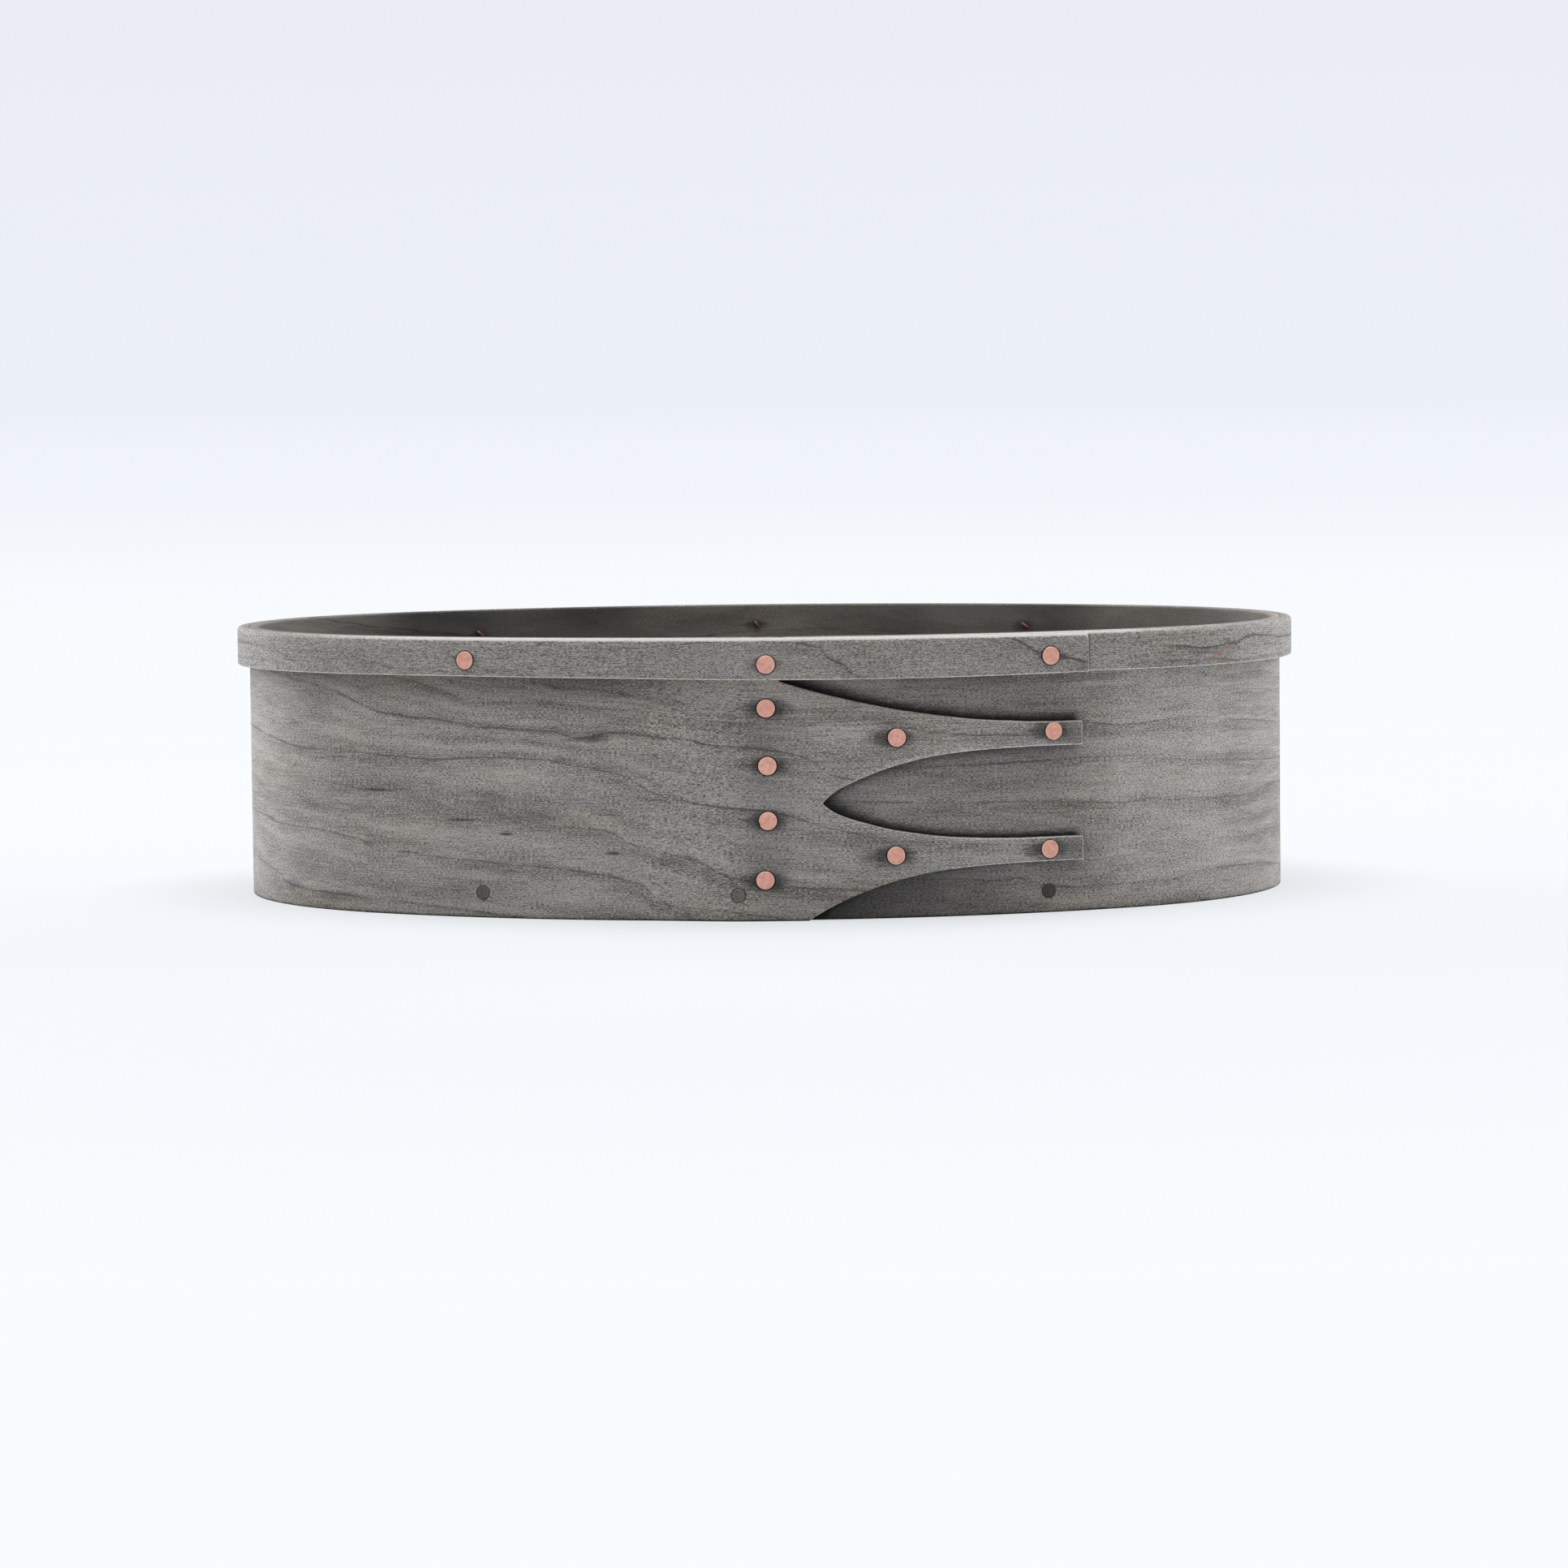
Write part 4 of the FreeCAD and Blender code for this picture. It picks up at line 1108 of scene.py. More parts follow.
def buildTack(name, place, index, seed):
    turn, along, height = place
    along += turn * girth
    face = rimFace(along) if name.startswith("rim") else wallFace(along)
    rings = tackHead(name, seed)
    path, side = shankPath(face, index)
    across = Vector((0, 0, 1)).cross(side)
    for spot, way, radius in path:
        other = way.cross(across)
        ring = []
        for angle in anglesOf(tack["sides"]):
            ring.append(spot + (across * math.sin(angle) + other * math.cos(angle)) * radius)
        # Each ring starts where the one before it does, so that the faces between them lie straight
        start = rings[-1][0] - rings[-1][0].project(way)
        shift = max(range(tack["sides"]), key=lambda item: start.dot(ring[item] - spot))
        rings.append(ring[shift:] + ring[:shift])
    rings.append([path[-1][0] + side * tack["tip"]])
    piece = ringPiece("copper_" + name, rings, outwardMatrix(along, height, face))
    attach(piece, "root")
    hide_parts(name)
    return piece


tackPieces = []
for seed, (name, place) in enumerate(tackPlaces.items()):
    tackPieces.append(buildTack(name, place, seed % 8, seed + 1.3))
print("tacks:", len(tackPieces))


def buildPeg(name, place, seed, tone):
    turn, along, height = place
    along += turn * girth
    isUnderFinger = turn == 0 and along > wall["lowerShoulder"]
    face = lap["wallThickness"] if isUnderFinger else wallFace(along)
    length = face + boardGap + peg["bite"]
    radius = peg["radius"]
    rings = [[Vector((0, 0, peg["head"][0][1]))]]
    for share, level in (*peg["head"], (1.0, -length + peg["lead"]), (1 - peg["lead"] / radius, -length)):
        # Whittled, so not quite round
        ring = unevenRing(peg, Vector((seed, 0, 0)))
        rings.append([way * radius * share * min(out, 1.0) + Vector((0, 0, level)) for _, way, out in ring])
    rings.append([Vector((0, 0, -length))])

    def endGrain(point):
        return Vector((0.5 + point.xy.length / peg["ringSpacing"], 0.6, peg["ringSpacing"]))

    piece = ringPiece("pin_" + name, rings, outwardMatrix(along, height, face), endGrain, tone)
    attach(piece, "root")
    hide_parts(name)
    return piece


pegPieces = []
for (name, place), tone in zip(pegPlaces.items(), peg["tones"]):
    pegPieces.append(buildPeg(name, place, len(pegPieces) * 2.1, tone))
print("pegs:", len(pegPieces))

# The bottom board: one wide board, its grain along the box
board = {
    "edge": 0.4,
    "cup": 0.12,
    "sides": 180,
    "steps": 16,
    "edgeSteps": 3,
    "closer": 0.8,
    "ringSpacing": 7.5,
    "firstRing": 20,
    "slant": 0.3,
    "arch": {"middle": (-30, 14), "width": 26, "length": 130, "waver": 3, "waverLength": (45, 30)},
}


def buildBoard():
    def outline(share, inset, level):
        ring = []
        for step in range(board["sides"]):
            point = bentPoint(girth * step / board["sides"], 0, -boardGap - inset) / mm
            ring.append(Vector((point.x * share, point.y * share, level)))
        return ring

    def cupped(share):
        return boardTop - board["cup"] * (1 - share ** 2)

    edge = board["edge"]
    bends = []
    for step in range(board["edgeSteps"] + 1):
        angle = step / board["edgeSteps"] * math.pi / 2
        bends.append((edge * (1 - math.sin(angle)), edge * (1 - math.cos(angle))))
    shares = [(step / board["steps"]) ** board["closer"] for step in range(1, board["steps"])]
    rings = [[Vector((0, 0, cupped(0)))]]
    rings += [outline(share, edge, cupped(share)) for share in shares]
    rings += [outline(1, inset, boardTop - drop) for inset, drop in bends]
    rings += [outline(1, inset, boardBase + rise) for rise, inset in bends]
    rings += [outline(share, edge, boardBase) for share in reversed(shares)]
    rings.append([Vector((0, 0, boardBase))])

    def figure(point):
        # A flame figure: arches round a line a little behind the middle, even lines towards the edges
        arch = board["arch"]
        x, y = point.x - arch["middle"][0], point.y - arch["middle"][1]
        far = math.hypot(y, arch["width"] * math.tanh(x / arch["length"]))
        waverAlong, waverAcross = arch["waverLength"]
        far += arch["waver"] * noise.noise(Vector((x / waverAlong, y / waverAcross, 1)))
        ring = board["firstRing"] + (far + point.z * board["slant"]) / board["ringSpacing"]
        return Vector((ring, 0.7, board["ringSpacing"]))

    return ringPiece("board_panel", rings, Matrix.Scale(mm, 4), figure)


boardPanel = buildBoard()
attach(boardPanel, "root")
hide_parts("bottom_board")
print("board:", len(boardPanel.data.polygons), "faces")


# Node helpers: a value is either a number or another node's socket, and a socket knows its own tree
def feed(socket, value):
    if isinstance(value, bpy.types.NodeSocket):
        socket.id_data.links.new(value, socket)
    elif value is not None:
        socket.default_value = value


def node(tree, kind, inputs=None, **settings):
    made = tree.nodes.new(kind)
    for name, value in settings.items():
        setattr(made, name, value)
    for name, value in (inputs or {}).items():
        feed(made.inputs[name], value)
    return made


def linked(kind, inputs, **settings):
    # A node in the tree of the sockets that feed it
    tree = next(value.id_data for value in inputs.values() if isinstance(value, bpy.types.NodeSocket))
    return node(tree, kind, inputs, **settings).outputs


def maths(operation, first, second=None, third=None):
    return linked("ShaderNodeMath", {0: first, 1: second, 2: third}, operation=operation)[0]


def swung(value, share, base):
    # The base, raised or lowered as the value lies over or under a half
    return maths("MULTIPLY_ADD", maths("SUBTRACT", value, 0.5), share, base)


def vectorMaths(operation, first, second=None, output="Vector"):
    return linked("ShaderNodeVectorMath", {0: first, 1: second}, operation=operation)[output]


def split(vector):
    return linked("ShaderNodeSeparateXYZ", {0: vector})


def joined(x, y=None, z=None):
    return linked("ShaderNodeCombineXYZ", {0: x, 1: y, 2: z})[0]


def clouds(place, scale, detail, roughness, distortion=0.0, shift=(0, 0, 0)):
    # Soft noise with a scale of its own in each direction
    moved = linked("ShaderNodeMapping", {"Vector": place, "Scale": scale, "Location": shift})[0]
    inputs = {"Vector": moved, "Scale": 1.0, "Detail": detail, "Roughness": roughness}
    return linked("ShaderNodeTexNoise", {**inputs, "Distortion": distortion})["Fac"]


def between(value, low, high, fromLow=0.0, fromHigh=1.0, kind="LINEAR"):
    inputs = {"Value": value, "From Min": low, "From Max": high, "To Min": fromLow, "To Max": fromHigh}
    return linked("ShaderNodeMapRange", inputs, interpolation_type=kind)["Result"]


def blend(factor, first, second, kind="MIX"):
    inputs = {"Factor": factor, 6: first, 7: second}
    return linked("ShaderNodeMix", inputs, data_type="RGBA", blend_type=kind)[2]


def marked(tree, name, output="Fac"):
    return node(tree, "ShaderNodeAttribute", attribute_name=name).outputs[output]


def newGroup(name, inputs, outputs):
    # An input that starts as a number stays one, and every other input is a place
    tree = bpy.data.node_groups.new(name, "ShaderNodeTree")
    for label, value in inputs.items():
        kind = "NodeSocketFloat" if isinstance(value, float) else "NodeSocketVector"
        socket = tree.interface.new_socket(label, in_out="INPUT", socket_type=kind)
        if value is not None:
            socket.default_value = value
    for label in outputs:
        tree.interface.new_socket(label, in_out="OUTPUT", socket_type="NodeSocketFloat")
    return tree, tree.nodes.new("NodeGroupInput").outputs, tree.nodes.new("NodeGroupOutput").inputs


def growthGroup():
    # Thin dark growth lines with a soft shade under them, that waver and fade as in sliced maple
    inputs = {"Place": None, "Rings": None, "Width": 0.35}
    tree, given, result = newGroup("growth lines", inputs, ["Line", "Shade", "Band", "Level"])
    place = given["Place"]
    ring, shows, gap = split(given["Rings"])
    wander = swung(clouds(place, (0.16, 0.5, 0.5), 3, 0.6), 0.7, 0.0)
    ring = maths("ADD", ring, maths("DIVIDE", wander, gap))
    above = maths("FRACT", ring)
    aboveLine = maths("MULTIPLY", above, gap)
    underLine = maths("MULTIPLY", maths("SUBTRACT", 1.0, above), gap)
    broken = clouds(place, (0.09, 0.7, 0.7), 3, 0.6, shift=(3, 9, 1))
    core = between(maths("MINIMUM", aboveLine, underLine), given["Width"], 0.0, kind="SMOOTHSTEP")
    core = maths("MULTIPLY", core, between(broken, 0.3, 0.6, 0.35, 1.0))
    soft = between(underLine, 4.0, 0.0, kind="SMOOTHSTEP")
    soft = maths("MAXIMUM", soft, between(aboveLine, 1.1, 0.0, kind="SMOOTHSTEP"))
    soft = maths("MULTIPLY", soft, between(broken, 0.35, 0.65, 0.2, 1.0))
    feed(result["Line"], maths("MULTIPLY", core, shows))
    feed(result["Shade"], maths("MULTIPLY", soft, shows))
    feed(result["Level"], maths("MULTIPLY", ring, 9.0))
    # Fine bands that follow the growth lines
    along = maths("MULTIPLY", split(place)[0], 0.012)
    flow = joined(along, maths("MULTIPLY", ring, 2.6))
    feed(result["Band"], clouds(flow, (1, 1, 1), 4, 0.62))
    return tree


def fibreGroup():
    # Short flecks and ripples of cut fibre, longer along the grain
    inputs = {"Place": None, "Along": 1.0, "Across": 1.0}
    tree, given, result = newGroup("cut fibre", inputs, ["Fleck", "Relief", "Pore"])
    stretch = joined(given["Along"], given["Across"], given["Across"])
    place = vectorMaths("MULTIPLY", given["Place"], stretch)
    fleck = 0.0
    for share, scale, detail, distortion, shift in (
        (0.15, (0.75, 2.0, 2.0), 2, 0.4, (0, 0, 0)),
        (1.0, (1.6, 6.8, 6.8), 1, 0.0, (5, 2, 8)),
        (0.4, (0.13, 5.0, 5.0), 2, 0.0, (1, 6, 3)),
    ):
        fleck = swung(clouds(place, scale, detail, 0.6, distortion, shift), share, fleck)
    feed(result["Fleck"], fleck)
    feed(result["Relief"], maths("ADD", fleck, 0.5))
    pore = clouds(place, (0.8, 5, 5), 1, 0.5, shift=(9, 4, 2))
    feed(result["Pore"], between(pore, 0.64, 0.76))
    return tree


def smudgeGroup():
    # One soft-edged dark place, drawn out along the grain
    inputs = {"Place": None, "Centre": None, "Reach": (1, 1, 1), "Ragged": 0.3, "Depth": 1.0}
    tree, given, result = newGroup("smudge", inputs, ["Mask"])
    away = vectorMaths("SUBTRACT", given["Place"], given["Centre"])
    far = vectorMaths("LENGTH", vectorMaths("DIVIDE", away, given["Reach"]), output="Value")
    ragged = clouds(given["Place"], (0.35, 1.2, 1.2), 3, 0.6)
    far = swung(ragged, maths("MULTIPLY", given["Ragged"], 4), far)
    inside = between(far, 1.0, 0.2, kind="SMOOTHSTEP")
    feed(result["Mask"], maths("MULTIPLY", inside, given["Depth"]))
    return tree


def wearGroup():
    # Rubbed arrises, broken up by the grain; the same mask carries the painted sheen along the front of the
    # rim's top arris
    tree, given, result = newGroup("worn edge", {"Place": None, "Wear": 0.0}, ["Mask"])
    patchy = clouds(given["Place"], (0.12, 0.4, 0.4), 4, 0.65)
    grain = clouds(given["Place"], (1.6, 4.5, 4.5), 2, 0.6)
    worn = maths("MULTIPLY", given["Wear"], between(patchy, 0.25, 0.55, 0.8, 1.05))
    feed(result["Mask"], between(swung(grain, 1.7, worn), 0.3, 0.85))
    return tree


def stainGroup():
    # The dark bleeding round the metal
    tree, given, result = newGroup("metal stain", {"Place": None, "Stain": 0.0}, ["Mask"])
    ragged = clouds(given["Place"], (0.3, 2.4, 2.4), 3, 0.65)
    reach = maths("ADD", given["Stain"], maths("MULTIPLY_ADD", ragged, 1.3, -0.68))
    feed(result["Mask"], between(reach, 0.25, 1.15, kind="SMOOTHSTEP"))
    return tree


def edgeShadeGroup():
    # The dark line of painted shade and dirt against an edge: distance, depth and width come from the mesh
    tree, given, result = newGroup("edge shade line", {"Place": None, "Edge": None}, ["Mask"])
    far, depth, width = split(given["Edge"])
    ragged = clouds(given["Place"], (0.5, 1.4, 1.4), 3, 0.6, shift=(2, 5, 3))
    far = swung(ragged, maths("MULTIPLY", maths("MINIMUM", width, 1.0), 1.6), far)
    far = maths("DIVIDE", maths("MAXIMUM", far, 0.0), maths("MAXIMUM", width, 0.1))
    fall = maths("EXPONENT", maths("MULTIPLY", maths("POWER", far, 2.2), -1.0))
    feed(result["Mask"], maths("MULTIPLY", fall, depth))
    return tree


groups = {
    "edge": edgeShadeGroup(),
    "growth": growthGroup(),
    "fibre": fibreGroup(),
    "smudge": smudgeGroup(),
    "wear": wearGroup(),
    "stain": stainGroup(),
}


def use(group, inputs):
    return linked("ShaderNodeGroup", inputs, node_tree=groups[group])


def newMaterial(name):
    material = bpy.data.materials.new(name)
    material.use_nodes = True
    tree = material.node_tree
    shader = tree.nodes["Principled BSDF"]
    return material, tree, shader


def colour(red, green, blue):
    return (red, green, blue, 1.0)


def woodTone(tree, wood, place, lines, fibre):
    # Light and dark: broad clouds, bands along the growth lines, and the flecks of single fibres
    parts = split(place)
    flow = joined(parts[0], lines["Level"], parts[2])
    broad = clouds(flow, (0.02, 0.09, 0.09), 3, 0.55, 0.4, wood["shift"])
    middle = clouds(flow, (0.05, 0.34, 0.34), 4, 0.6, 0.5, wood["shift"])
    tone = 0.5
    for part, share in ((broad, "broad"), (middle, "middle"), (lines["Band"], "band")):
        tone = swung(part, wood[share], tone)
    calm = between(marked(tree, "inside"), 0.0, 1.0, wood["fleck"], wood["fleck"] * 0.3)
    tone = maths("MULTIPLY_ADD", fibre["Fleck"], calm, tone)
    for part, depth in ((lines["Shade"], "shade"), (lines["Line"], "lineDepth"), (fibre["Pore"], "pores")):
        tone = maths("MULTIPLY_ADD", part, -wood[depth], tone)
    return tone


def tinge(wood, place):
    # Yellower along the foot and just under the rim
    height = split(place)[1]
    low = between(height, 4.5, 0.0, kind="SMOOTHSTEP")
    high = between(height, rimEdge - 7, rimEdge, kind="SMOOTHSTEP")
    return maths("MULTIPLY", maths("MAXIMUM", low, high), wood["tinged"])


def spotted(wood, place, spots):
    mask = 0.0
    for along, height, reach, rise, depth, ragged in spots:
        inputs = {
            "Place": place,
            "Centre": (along, height, wood["face"]),
            "Reach": (reach, rise, 2.0),
            "Depth": depth,
            "Ragged": ragged,
        }
        mask = maths("MAXIMUM", mask, use("smudge", inputs)["Mask"])
    return mask


def woodMaterial(name, wood):
    material, tree, shader = newMaterial(name)
    place = marked(tree, "flat", "Vector")
    rings = marked(tree, "rings", "Vector")
    lines = use("growth", {"Place": place, "Rings": rings, "Width": wood["lineWidth"]})
    fibre = use("fibre", {"Place": place, "Along": wood["along"], "Across": wood["across"]})
    base = blend(woodTone(tree, wood, place, lines, fibre), wood["dark"], wood["pale"])
    if "redLines" in wood:
        base = blend(maths("MULTIPLY", lines["Line"], wood["redLines"]), base, wood["mark"])
    if "tinged" in wood:
        base = blend(tinge(wood, place), base, wood["tinge"], "MULTIPLY")
    warm = clouds(place, (0.03, 0.12, 0.12), 3, 0.6, shift=(4, 7, 2))
    base = blend(between(warm, 0.45, 0.7, 0.0, wood["warmth"]), base, wood["warm"], "MULTIPLY")
    for spots, tint in (("blushes", "blush"), ("smudges", "mark")):
        if spots in wood:
            base = blend(spotted(wood, place, wood[spots]), base, wood[tint])
    if wood["metal"]:
        stain = use("stain", {"Place": place, "Stain": marked(tree, "stain")})["Mask"]
        base = blend(maths("MULTIPLY", stain, wood["metal"]), base, wood["stain"])
    # Grime and painted shade, darkened towards the stain colour
    base = blend(marked(tree, "grimeAndShade"), base, wood["stain"])
    # Near-black lines of painted shade, partly dirt, along the finger edges, the foot and round the seats
    if "edges" in wood:
        line = use("edge", {"Place": place, "Edge": marked(tree, "edge", "Vector")})["Mask"]
        base = blend(line, base, wood["edges"])
    if wood["worn"]:
        worn = use("wear", {"Place": place, "Wear": marked(tree, "wear")})["Mask"]
        base = blend(worn, base, wood["worn"])
    dull, glossy = wood["rough"]
    feed(shader.inputs["Base Color"], base)
    feed(shader.inputs["Roughness"], between(fibre["Relief"], 0.35, 0.65, dull, glossy))
    shader.inputs["Specular IOR Level"].default_value = wood["sheen"]
    height = maths("MULTIPLY_ADD", lines["Line"], -0.35, fibre["Relief"])
    height = maths("MULTIPLY_ADD", fibre["Pore"], -0.25, height)
    relief = linked("ShaderNodeBump", {"Height": height, "Strength": wood["bump"], "Distance": 0.00022})
    feed(shader.inputs["Normal"], relief[0])
    return material


greyWood = {
    "lineWidth": 0.36,
    "along": 1.0,
    "across": 1.0,
    "shift": (0, 0, 0),
    "face": 2.2,
    "dark": colour(0.13, 0.119, 0.108),
    "pale": colour(0.58, 0.555, 0.515),
    "broad": 0.6,
    "middle": 0.95,
    "band": 0.95,
    "fleck": 3.4,
    "lineDepth": 0.56,
    "shade": 0.24,
    "pores": 0.1,
    "warm": colour(1.05, 0.985, 0.87),
    "tinge": colour(1.06, 0.985, 0.85),
    "warmth": 0.55,
    "mark": colour(0.05, 0.043, 0.038),
    "stain": colour(0.024, 0.023, 0.024),
    "metal": 0.82,
    # Pale colour of worn arrises, which also paints the sheen along the front of the rim's top
    "worn": colour(0.84, 0.8, 0.76),
    "rough": (0.68, 0.52),
    "sheen": 0.25,
    "bump": 0.5,
}
# Dark marks of the wall: along, height, half length, half height, depth, raggedness
wallMarks = [
    (631.3, 41.0, 4.6, 1.7, 0.75, 0.25),
    (627.5, 40.6, 7.0, 0.9, 0.4, 0.3),
    (576.3, 28.3, 7.5, 0.5, 0.75, 0.1),
    (599.0, 22.1, 5.8, 0.55, 0.8, 0.1),
    (609.8, 19.1, 2.6, 0.5, 0.85, 0.1),
    (635.3, 15.1, 3.2, 0.6, 0.85, 0.15),
    (91.8, 5.7, 0.6, 0.4, 0.9, 0.0),
    (606.4, 26.6, 6.5, 3.4, 0.38, 0.35),
    (616.0, 23.2, 9.0, 1.8, 0.32, 0.3),
    (632.0, 19.4, 8.0, 1.2, 0.3, 0.25),
    (650.0, 13.4, 7.0, 1.6, 0.42, 0.3),
    (659.0, 10.8, 5.5, 2.4, 0.4, 0.3),
    (644.4, 27.2, 6.0, 1.0, 0.3, 0.3),
    (546.8, 5.0, 6.5, 3.0, 0.4, 0.3),
    (562.0, 3.2, 11.0, 1.5, 0.3, 0.2),
    (573.6, 15.8, 2.4, 1.6, 0.35, 0.3),
    (117.2, 22.6, 4.2, 2.6, 0.36, 0.35),
    (662.0, 33.0, 8.0, 1.8, 0.5, 0.3),
    (673.0, 37.8, 6.5, 1.2, 0.62, 0.3),
    (679.8, 35.2, 2.2, 1.6, 0.62, 0.25),
    (686.0, 32.0, 4.0, 0.9, 0.62, 0.25),
    (664.0, 24.6, 9.0, 1.7, 0.4, 0.3),
    (98.0, 5.6, 9.0, 1.1, 0.25, 0.3),
]
rimMarks = [
    (691.8, 57.7, 0.5, 0.35, 0.9, 0.0),
    # a dark upright line just past the rim's outer end: painted shadow of the end's step
    (76.8, 59.0, 0.6, 9.0, 0.5, 0.0),
    (106.0, 57.4, 3.6, 0.45, 0.4, 0.2),
    (119.9, 59.3, 2.6, 0.6, 0.6, 0.2),
    (124.1, 60.3, 4.0, 0.6, 0.45, 0.2),
]
# Reddish streaks of the rim
rimBlushes = [
    (112.2, 57.2, 3.6, 0.9, 0.9, 0.25),
    (115.9, 58.3, 3.0, 0.8, 0.9, 0.25),
    (110.6, 55.8, 3.0, 0.8, 0.9, 0.25),
    (114.6, 55.0, 4.0, 0.8, 0.8, 0.25),
]
woods = {
    # The "edges" colours are the near-black of the painted shade lines
    "wall": {**greyWood, "smudges": wallMarks, "tinged": 0.35, "edges": colour(0.009, 0.0085, 0.0085)},
    "rim": {
        **greyWood,
        "shift": (40, 3, 9),
        "along": 1.2,
        "across": 1.1,
        "face": 5.0,
        "pale": colour(0.5, 0.478, 0.445),
        "broad": 0.4,
        "middle": 0.3,
        "band": 0.3,
        "fleck": 3.8,
        "lineDepth": 0.85,
        "shade": 0.35,
        "redLines": 0.7,
        "pores": -0.12,
        "metal": 0.5,
        "mark": colour(0.08, 0.055, 0.045),
        "smudges": rimMarks,
        "blush": colour(0.285, 0.185, 0.135),
        "blushes": rimBlushes,
        "edges": colour(0.014, 0.011, 0.011),
    },
    "board": {**greyWood, "shift": (11, 5, 2), "metal": 0, "worn": None, "lineWidth": 0.5, "fleck": 2.2},
    "peg": {
        **greyWood,
        "dark": colour(0.12, 0.105, 0.095),
        "pale": colour(0.34, 0.3, 0.265),
        "metal": 0,
        "worn": None,
        "warmth": 0.2,
        "along": 2.5,
        "lineWidth": 0.12,
        "shade": 0.2,
    },
}
copper = {
    "deep": colour(0.7, 0.33, 0.245),
    "bright": colour(0.84, 0.46, 0.355),
    "brushed": colour(0.9, 0.55, 0.45),
    "tarnish": colour(0.3, 0.12, 0.09),
    "edgeHighlight": colour(0.95, 0.66, 0.56),
    "headGapShade": colour(0.1, 0.035, 0.028),
    "rough": (0.36, 0.52),
    "metallic": 0.85,
    "bump": 0.35,
}


def copperMaterial():
    material, tree, shader = newMaterial("copper")
    place = marked(tree, "flat", "Vector")
    # Every tack takes its pattern from another place
    chance = maths("MULTIPLY", node(tree, "ShaderNodeObjectInfo").outputs["Random"], 50)
    shifted = vectorMaths("ADD", place, joined(chance))
    mottled = clouds(shifted, (0.9, 0.9, 0.9), 4, 0.6)
    brushed = clouds(shifted, (1.2, 7, 3), 3, 0.6)
    spots = clouds(shifted, (2.2, 2.2, 2.2), 2, 0.5, shift=(3, 1, 7))
    far = vectorMaths("LENGTH", place, output="Value")
    metal = blend(between(mottled, 0.35, 0.65), copper["deep"], copper["bright"])
    for value, low, high, most, tint in (
        (brushed, 0.55, 0.75, 0.35, "brushed"),
        (spots, 0.66, 0.78, 0.6, "tarnish"),
        # painted highlight on the rounded edge of the head
        (far, 1.72, 1.9, 0.3, "edgeHighlight"),
        # painted shade where the head meets its seat
        (far, 2.0, 2.09, 0.9, "headGapShade"),
    ):
        metal = blend(between(value, low, high, 0.0, most), metal, copper[tint])
    feed(shader.inputs["Base Color"], metal)
    feed(shader.inputs["Roughness"], between(brushed, 0.3, 0.7, *copper["rough"]))
    shader.inputs["Metallic"].default_value = copper["metallic"]
    relief = linked("ShaderNodeBump", {"Height": mottled, "Strength": copper["bump"], "Distance": 0.0002})
    feed(shader.inputs["Normal"], relief[0])
    return material


materials = {kind: woodMaterial(kind + " wood", wood) for kind, wood in woods.items()}
materials["copper"] = copperMaterial()
kinds = {"wall": [wallStrip], "rim": [rimStrip], "board": [boardPanel]}
for kind, pieces in {**kinds, "copper": tackPieces, "peg": pegPieces}.items():
    for piece in pieces:
        piece.data.materials.append(materials[kind])
print("materials:", len(materials))

# Surroundings: a pale floor that melts into a bluish white room
horizon = colour(0.84, 0.87, 0.93)
room = {
    "floorReach": 40.0,  # metres, as are the other distances here
    "lightColour": colour(0.95, 0.975, 1.0),
    "lightStrength": 0.36,
    "seenAbove": colour(0.815, 0.84, 0.9),
    "horizonSlope": 0.07,
    "floor": colour(0.765, 0.785, 0.82),
    "speck": colour(0.7, 0.72, 0.74),
    "speckShare": 0.02,
    "shadows": (0.24, 0.6, 0.6, 1.0),  # from where to where they fade, and the glow's share there
    "seenNear": colour(0.95, 0.974, 1.0),
    "seenFurther": [
        (0.6, 1.6, colour(0.938, 0.965, 0.992)),
        (1.6, 4.5, colour(0.87, 0.905, 0.96)),
        (4.5, 20.0, horizon),
    ],
    "softboxes": {  # watts, size, place
        "above": (18.5, 1.4, (0, 0, 1.5)),
        "left": (14.0, 0.9, (-1.2, 0.9, 0.3)),
        "right": (12.5, 0.9, (1.2, 0.9, 0.3)),
    },
}


def floorMaterial():
    material, tree, shader = newMaterial("floor")
    place = node(tree, "ShaderNodeTexCoord").outputs["Object"]
    far = vectorMaths("LENGTH", place, output="Value")
    speck = between(clouds(place, (30, 30, 30), 3, 0.5), 0.3, 0.7, 0.0, room["speckShare"])
    feed(shader.inputs["Base Color"], blend(speck, room["floor"], room["speck"]))
    shader.inputs["Roughness"].default_value = 0.9
    shader.inputs["Specular IOR Level"].default_value = 0.1
    seen = room["seenNear"]
    for start, end, tint in room["seenFurther"]:
        seen = blend(between(far, start, end), seen, tint)
    glow = node(tree, "ShaderNodeEmission", {"Color": seen, "Strength": 1.0})
    isCamera = node(tree, "ShaderNodeLightPath").outputs["Is Camera Ray"]
    share = maths("MULTIPLY", isCamera, between(far, *room["shadows"], kind="SMOOTHSTEP"))
    mixed = node(tree, "ShaderNodeMixShader", {0: share, 1: shader.outputs[0], 2: glow.outputs[0]})
    feed(tree.nodes["Material Output"].inputs["Surface"], mixed.outputs[0])
    return material


def buildFloor():
    mesh = bmesh.new()
    bmesh.ops.create_grid(mesh, x_segments=8, y_segments=8, size=room["floorReach"])
    floor = pieceFrom(mesh, "floor")
    floor.data.materials.append(floorMaterial())


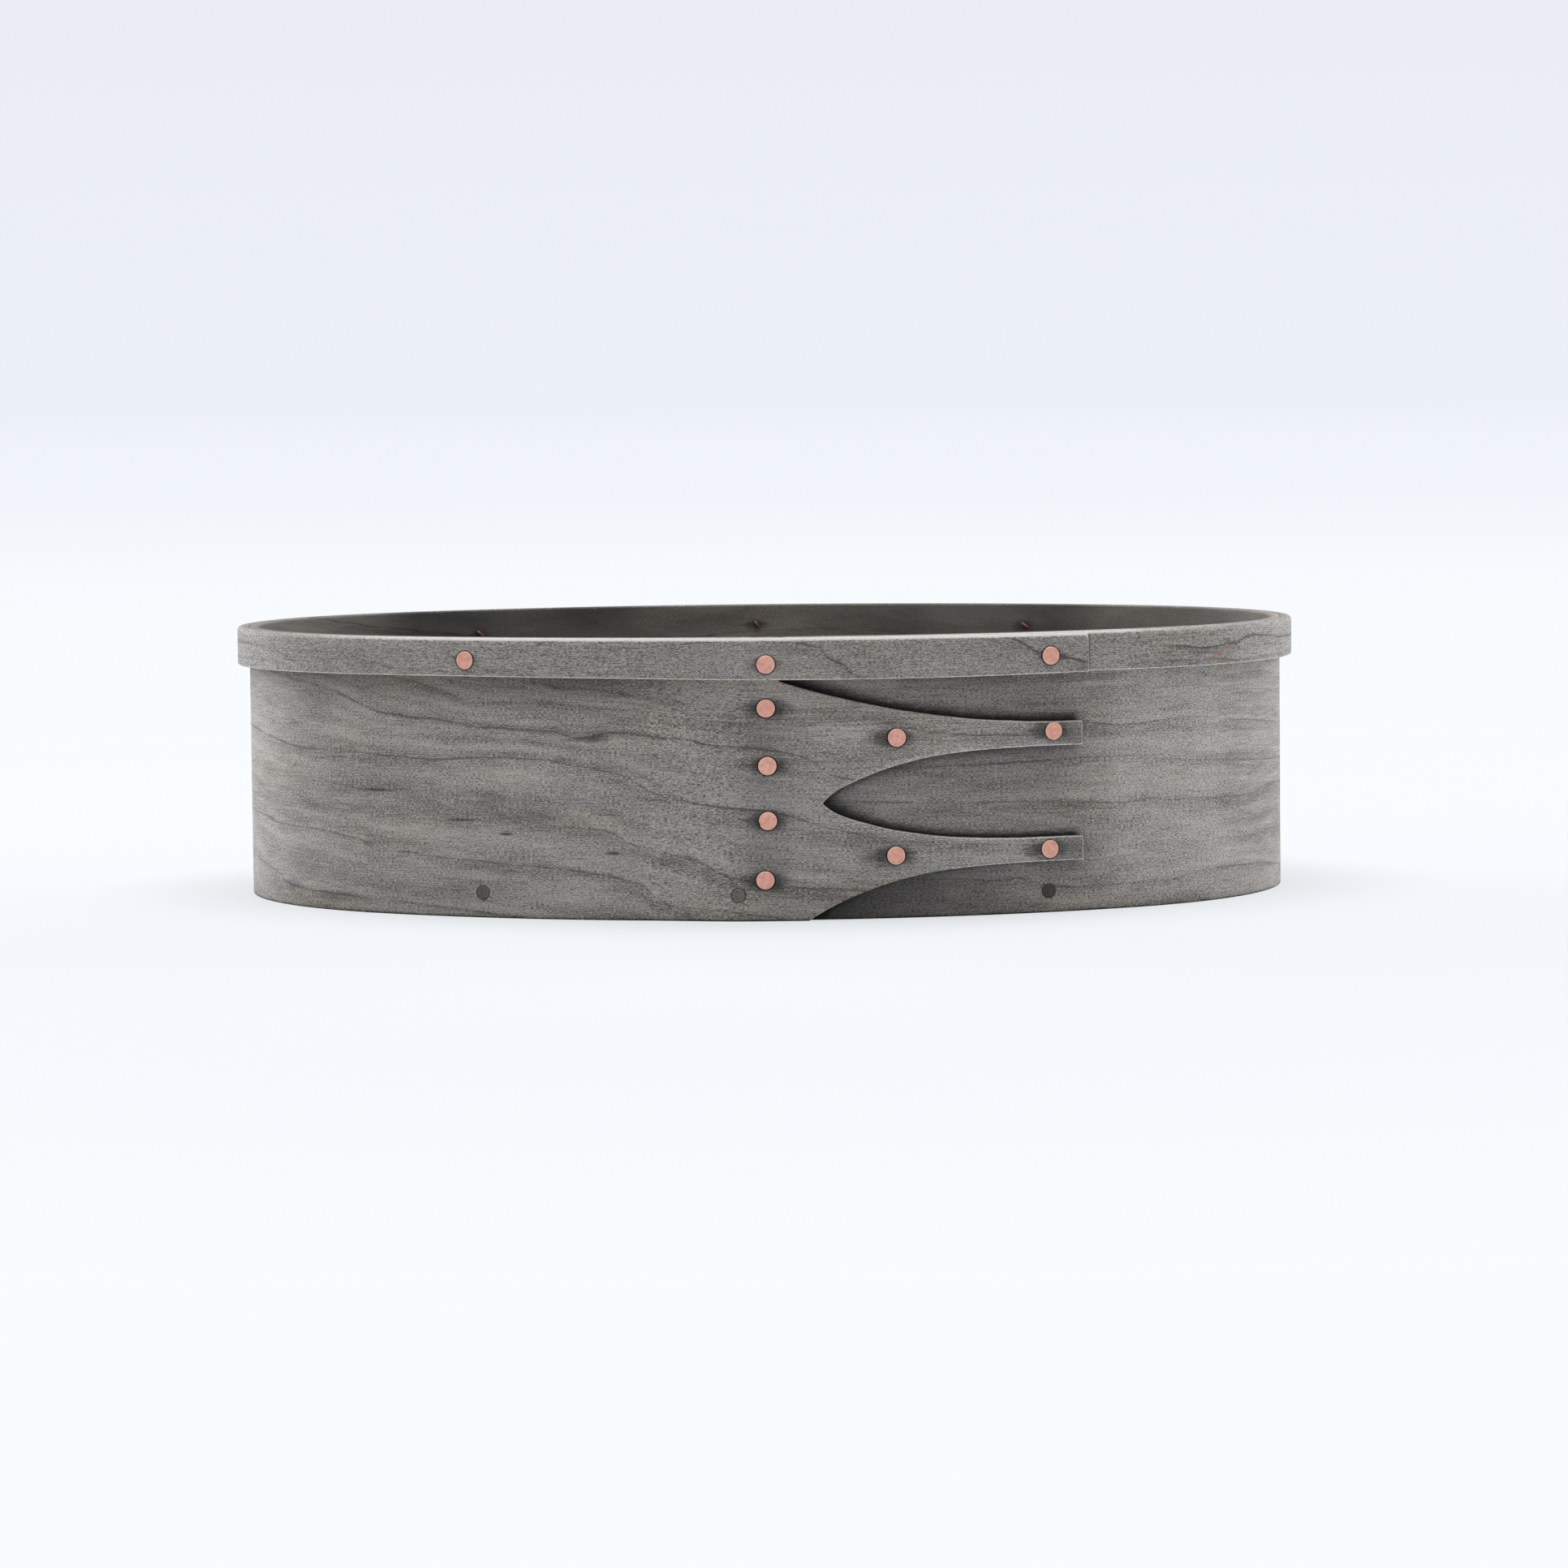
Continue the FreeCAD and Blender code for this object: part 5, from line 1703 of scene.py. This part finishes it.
def buildSky():
    # The room lights the box evenly, while what is seen of it is a little darker further up
    world = bpy.data.worlds.new("room")
    bpy.context.scene.world = world
    world.use_nodes = True
    tree = world.node_tree
    light = tree.nodes["Background"]
    light.inputs["Color"].default_value = room["lightColour"]
    light.inputs["Strength"].default_value = room["lightStrength"]
    rise = split(node(tree, "ShaderNodeTexCoord").outputs["Generated"])[2]
    seen = blend(between(rise, 0.0, room["horizonSlope"]), horizon, room["seenAbove"])
    shown = node(tree, "ShaderNodeBackground", {"Color": seen, "Strength": 1.0})
    ray = node(tree, "ShaderNodeLightPath").outputs
    isSeen = maths("MAXIMUM", ray["Is Glossy Ray"], ray["Is Transmission Ray"])
    isSeen = maths("MAXIMUM", ray["Is Camera Ray"], isSeen)
    mixed = node(tree, "ShaderNodeMixShader", {0: isSeen, 1: light.outputs[0], 2: shown.outputs[0]})
    feed(tree.nodes["World Output"].inputs["Surface"], mixed.outputs[0])


def hangSoftbox(name, power, size, spot):
    softbox = bpy.data.lights.new("softbox_" + name, "AREA")
    softbox.size = size
    softbox.energy = power
    piece = bpy.data.objects.new("softbox_" + name, softbox)
    piece.matrix_world = Matrix.Translation(spot) @ Vector(spot).to_track_quat("Z", "Y").to_matrix().to_4x4()
    bpy.context.collection.objects.link(piece)


buildFloor()
buildSky()
for name, (power, size, spot) in room["softboxes"].items():
    hangSoftbox(name, power, size, spot)
print("room lit")

# The photograph's viewpoint, found by fitting the oval's edges to the picture
viewpoint = {
    "distance": 1360.5,
    "aim": (4.42, 24.04),
    "pitch": 0.07183,
    "roll": 0.01093,
    "turn": 0.03491,
    "lens": 130.4,
}


def buildCamera():
    camera = bpy.data.objects.new("camera", bpy.data.cameras.new("camera"))
    across, height = viewpoint["aim"]
    pitch = viewpoint["pitch"]
    roll = viewpoint["roll"]
    turned = Matrix.Rotation(viewpoint["turn"], 3, "Z")
    forward = Vector((0, math.cos(pitch), -math.sin(pitch)))
    level = Vector((0, math.sin(pitch), math.cos(pitch)))
    right = Vector((math.cos(roll), 0, 0)) - level * math.sin(roll)
    up = Vector((math.sin(roll), 0, 0)) + level * math.cos(roll)
    aim = turned @ Vector((across, 0, 0)) + Vector((0, 0, height))
    spot = (aim - turned @ forward * viewpoint["distance"]) * mm
    axes = Matrix((turned @ right, turned @ up, -(turned @ forward))).transposed()
    camera.matrix_world = Matrix.Translation(spot) @ axes.to_4x4()
    camera.data.lens = viewpoint["lens"]
    camera.data.clip_end = 200
    bpy.context.collection.objects.link(camera)
    bpy.context.scene.camera = camera


buildCamera()
bpy.context.scene.view_settings.view_transform = "Standard"
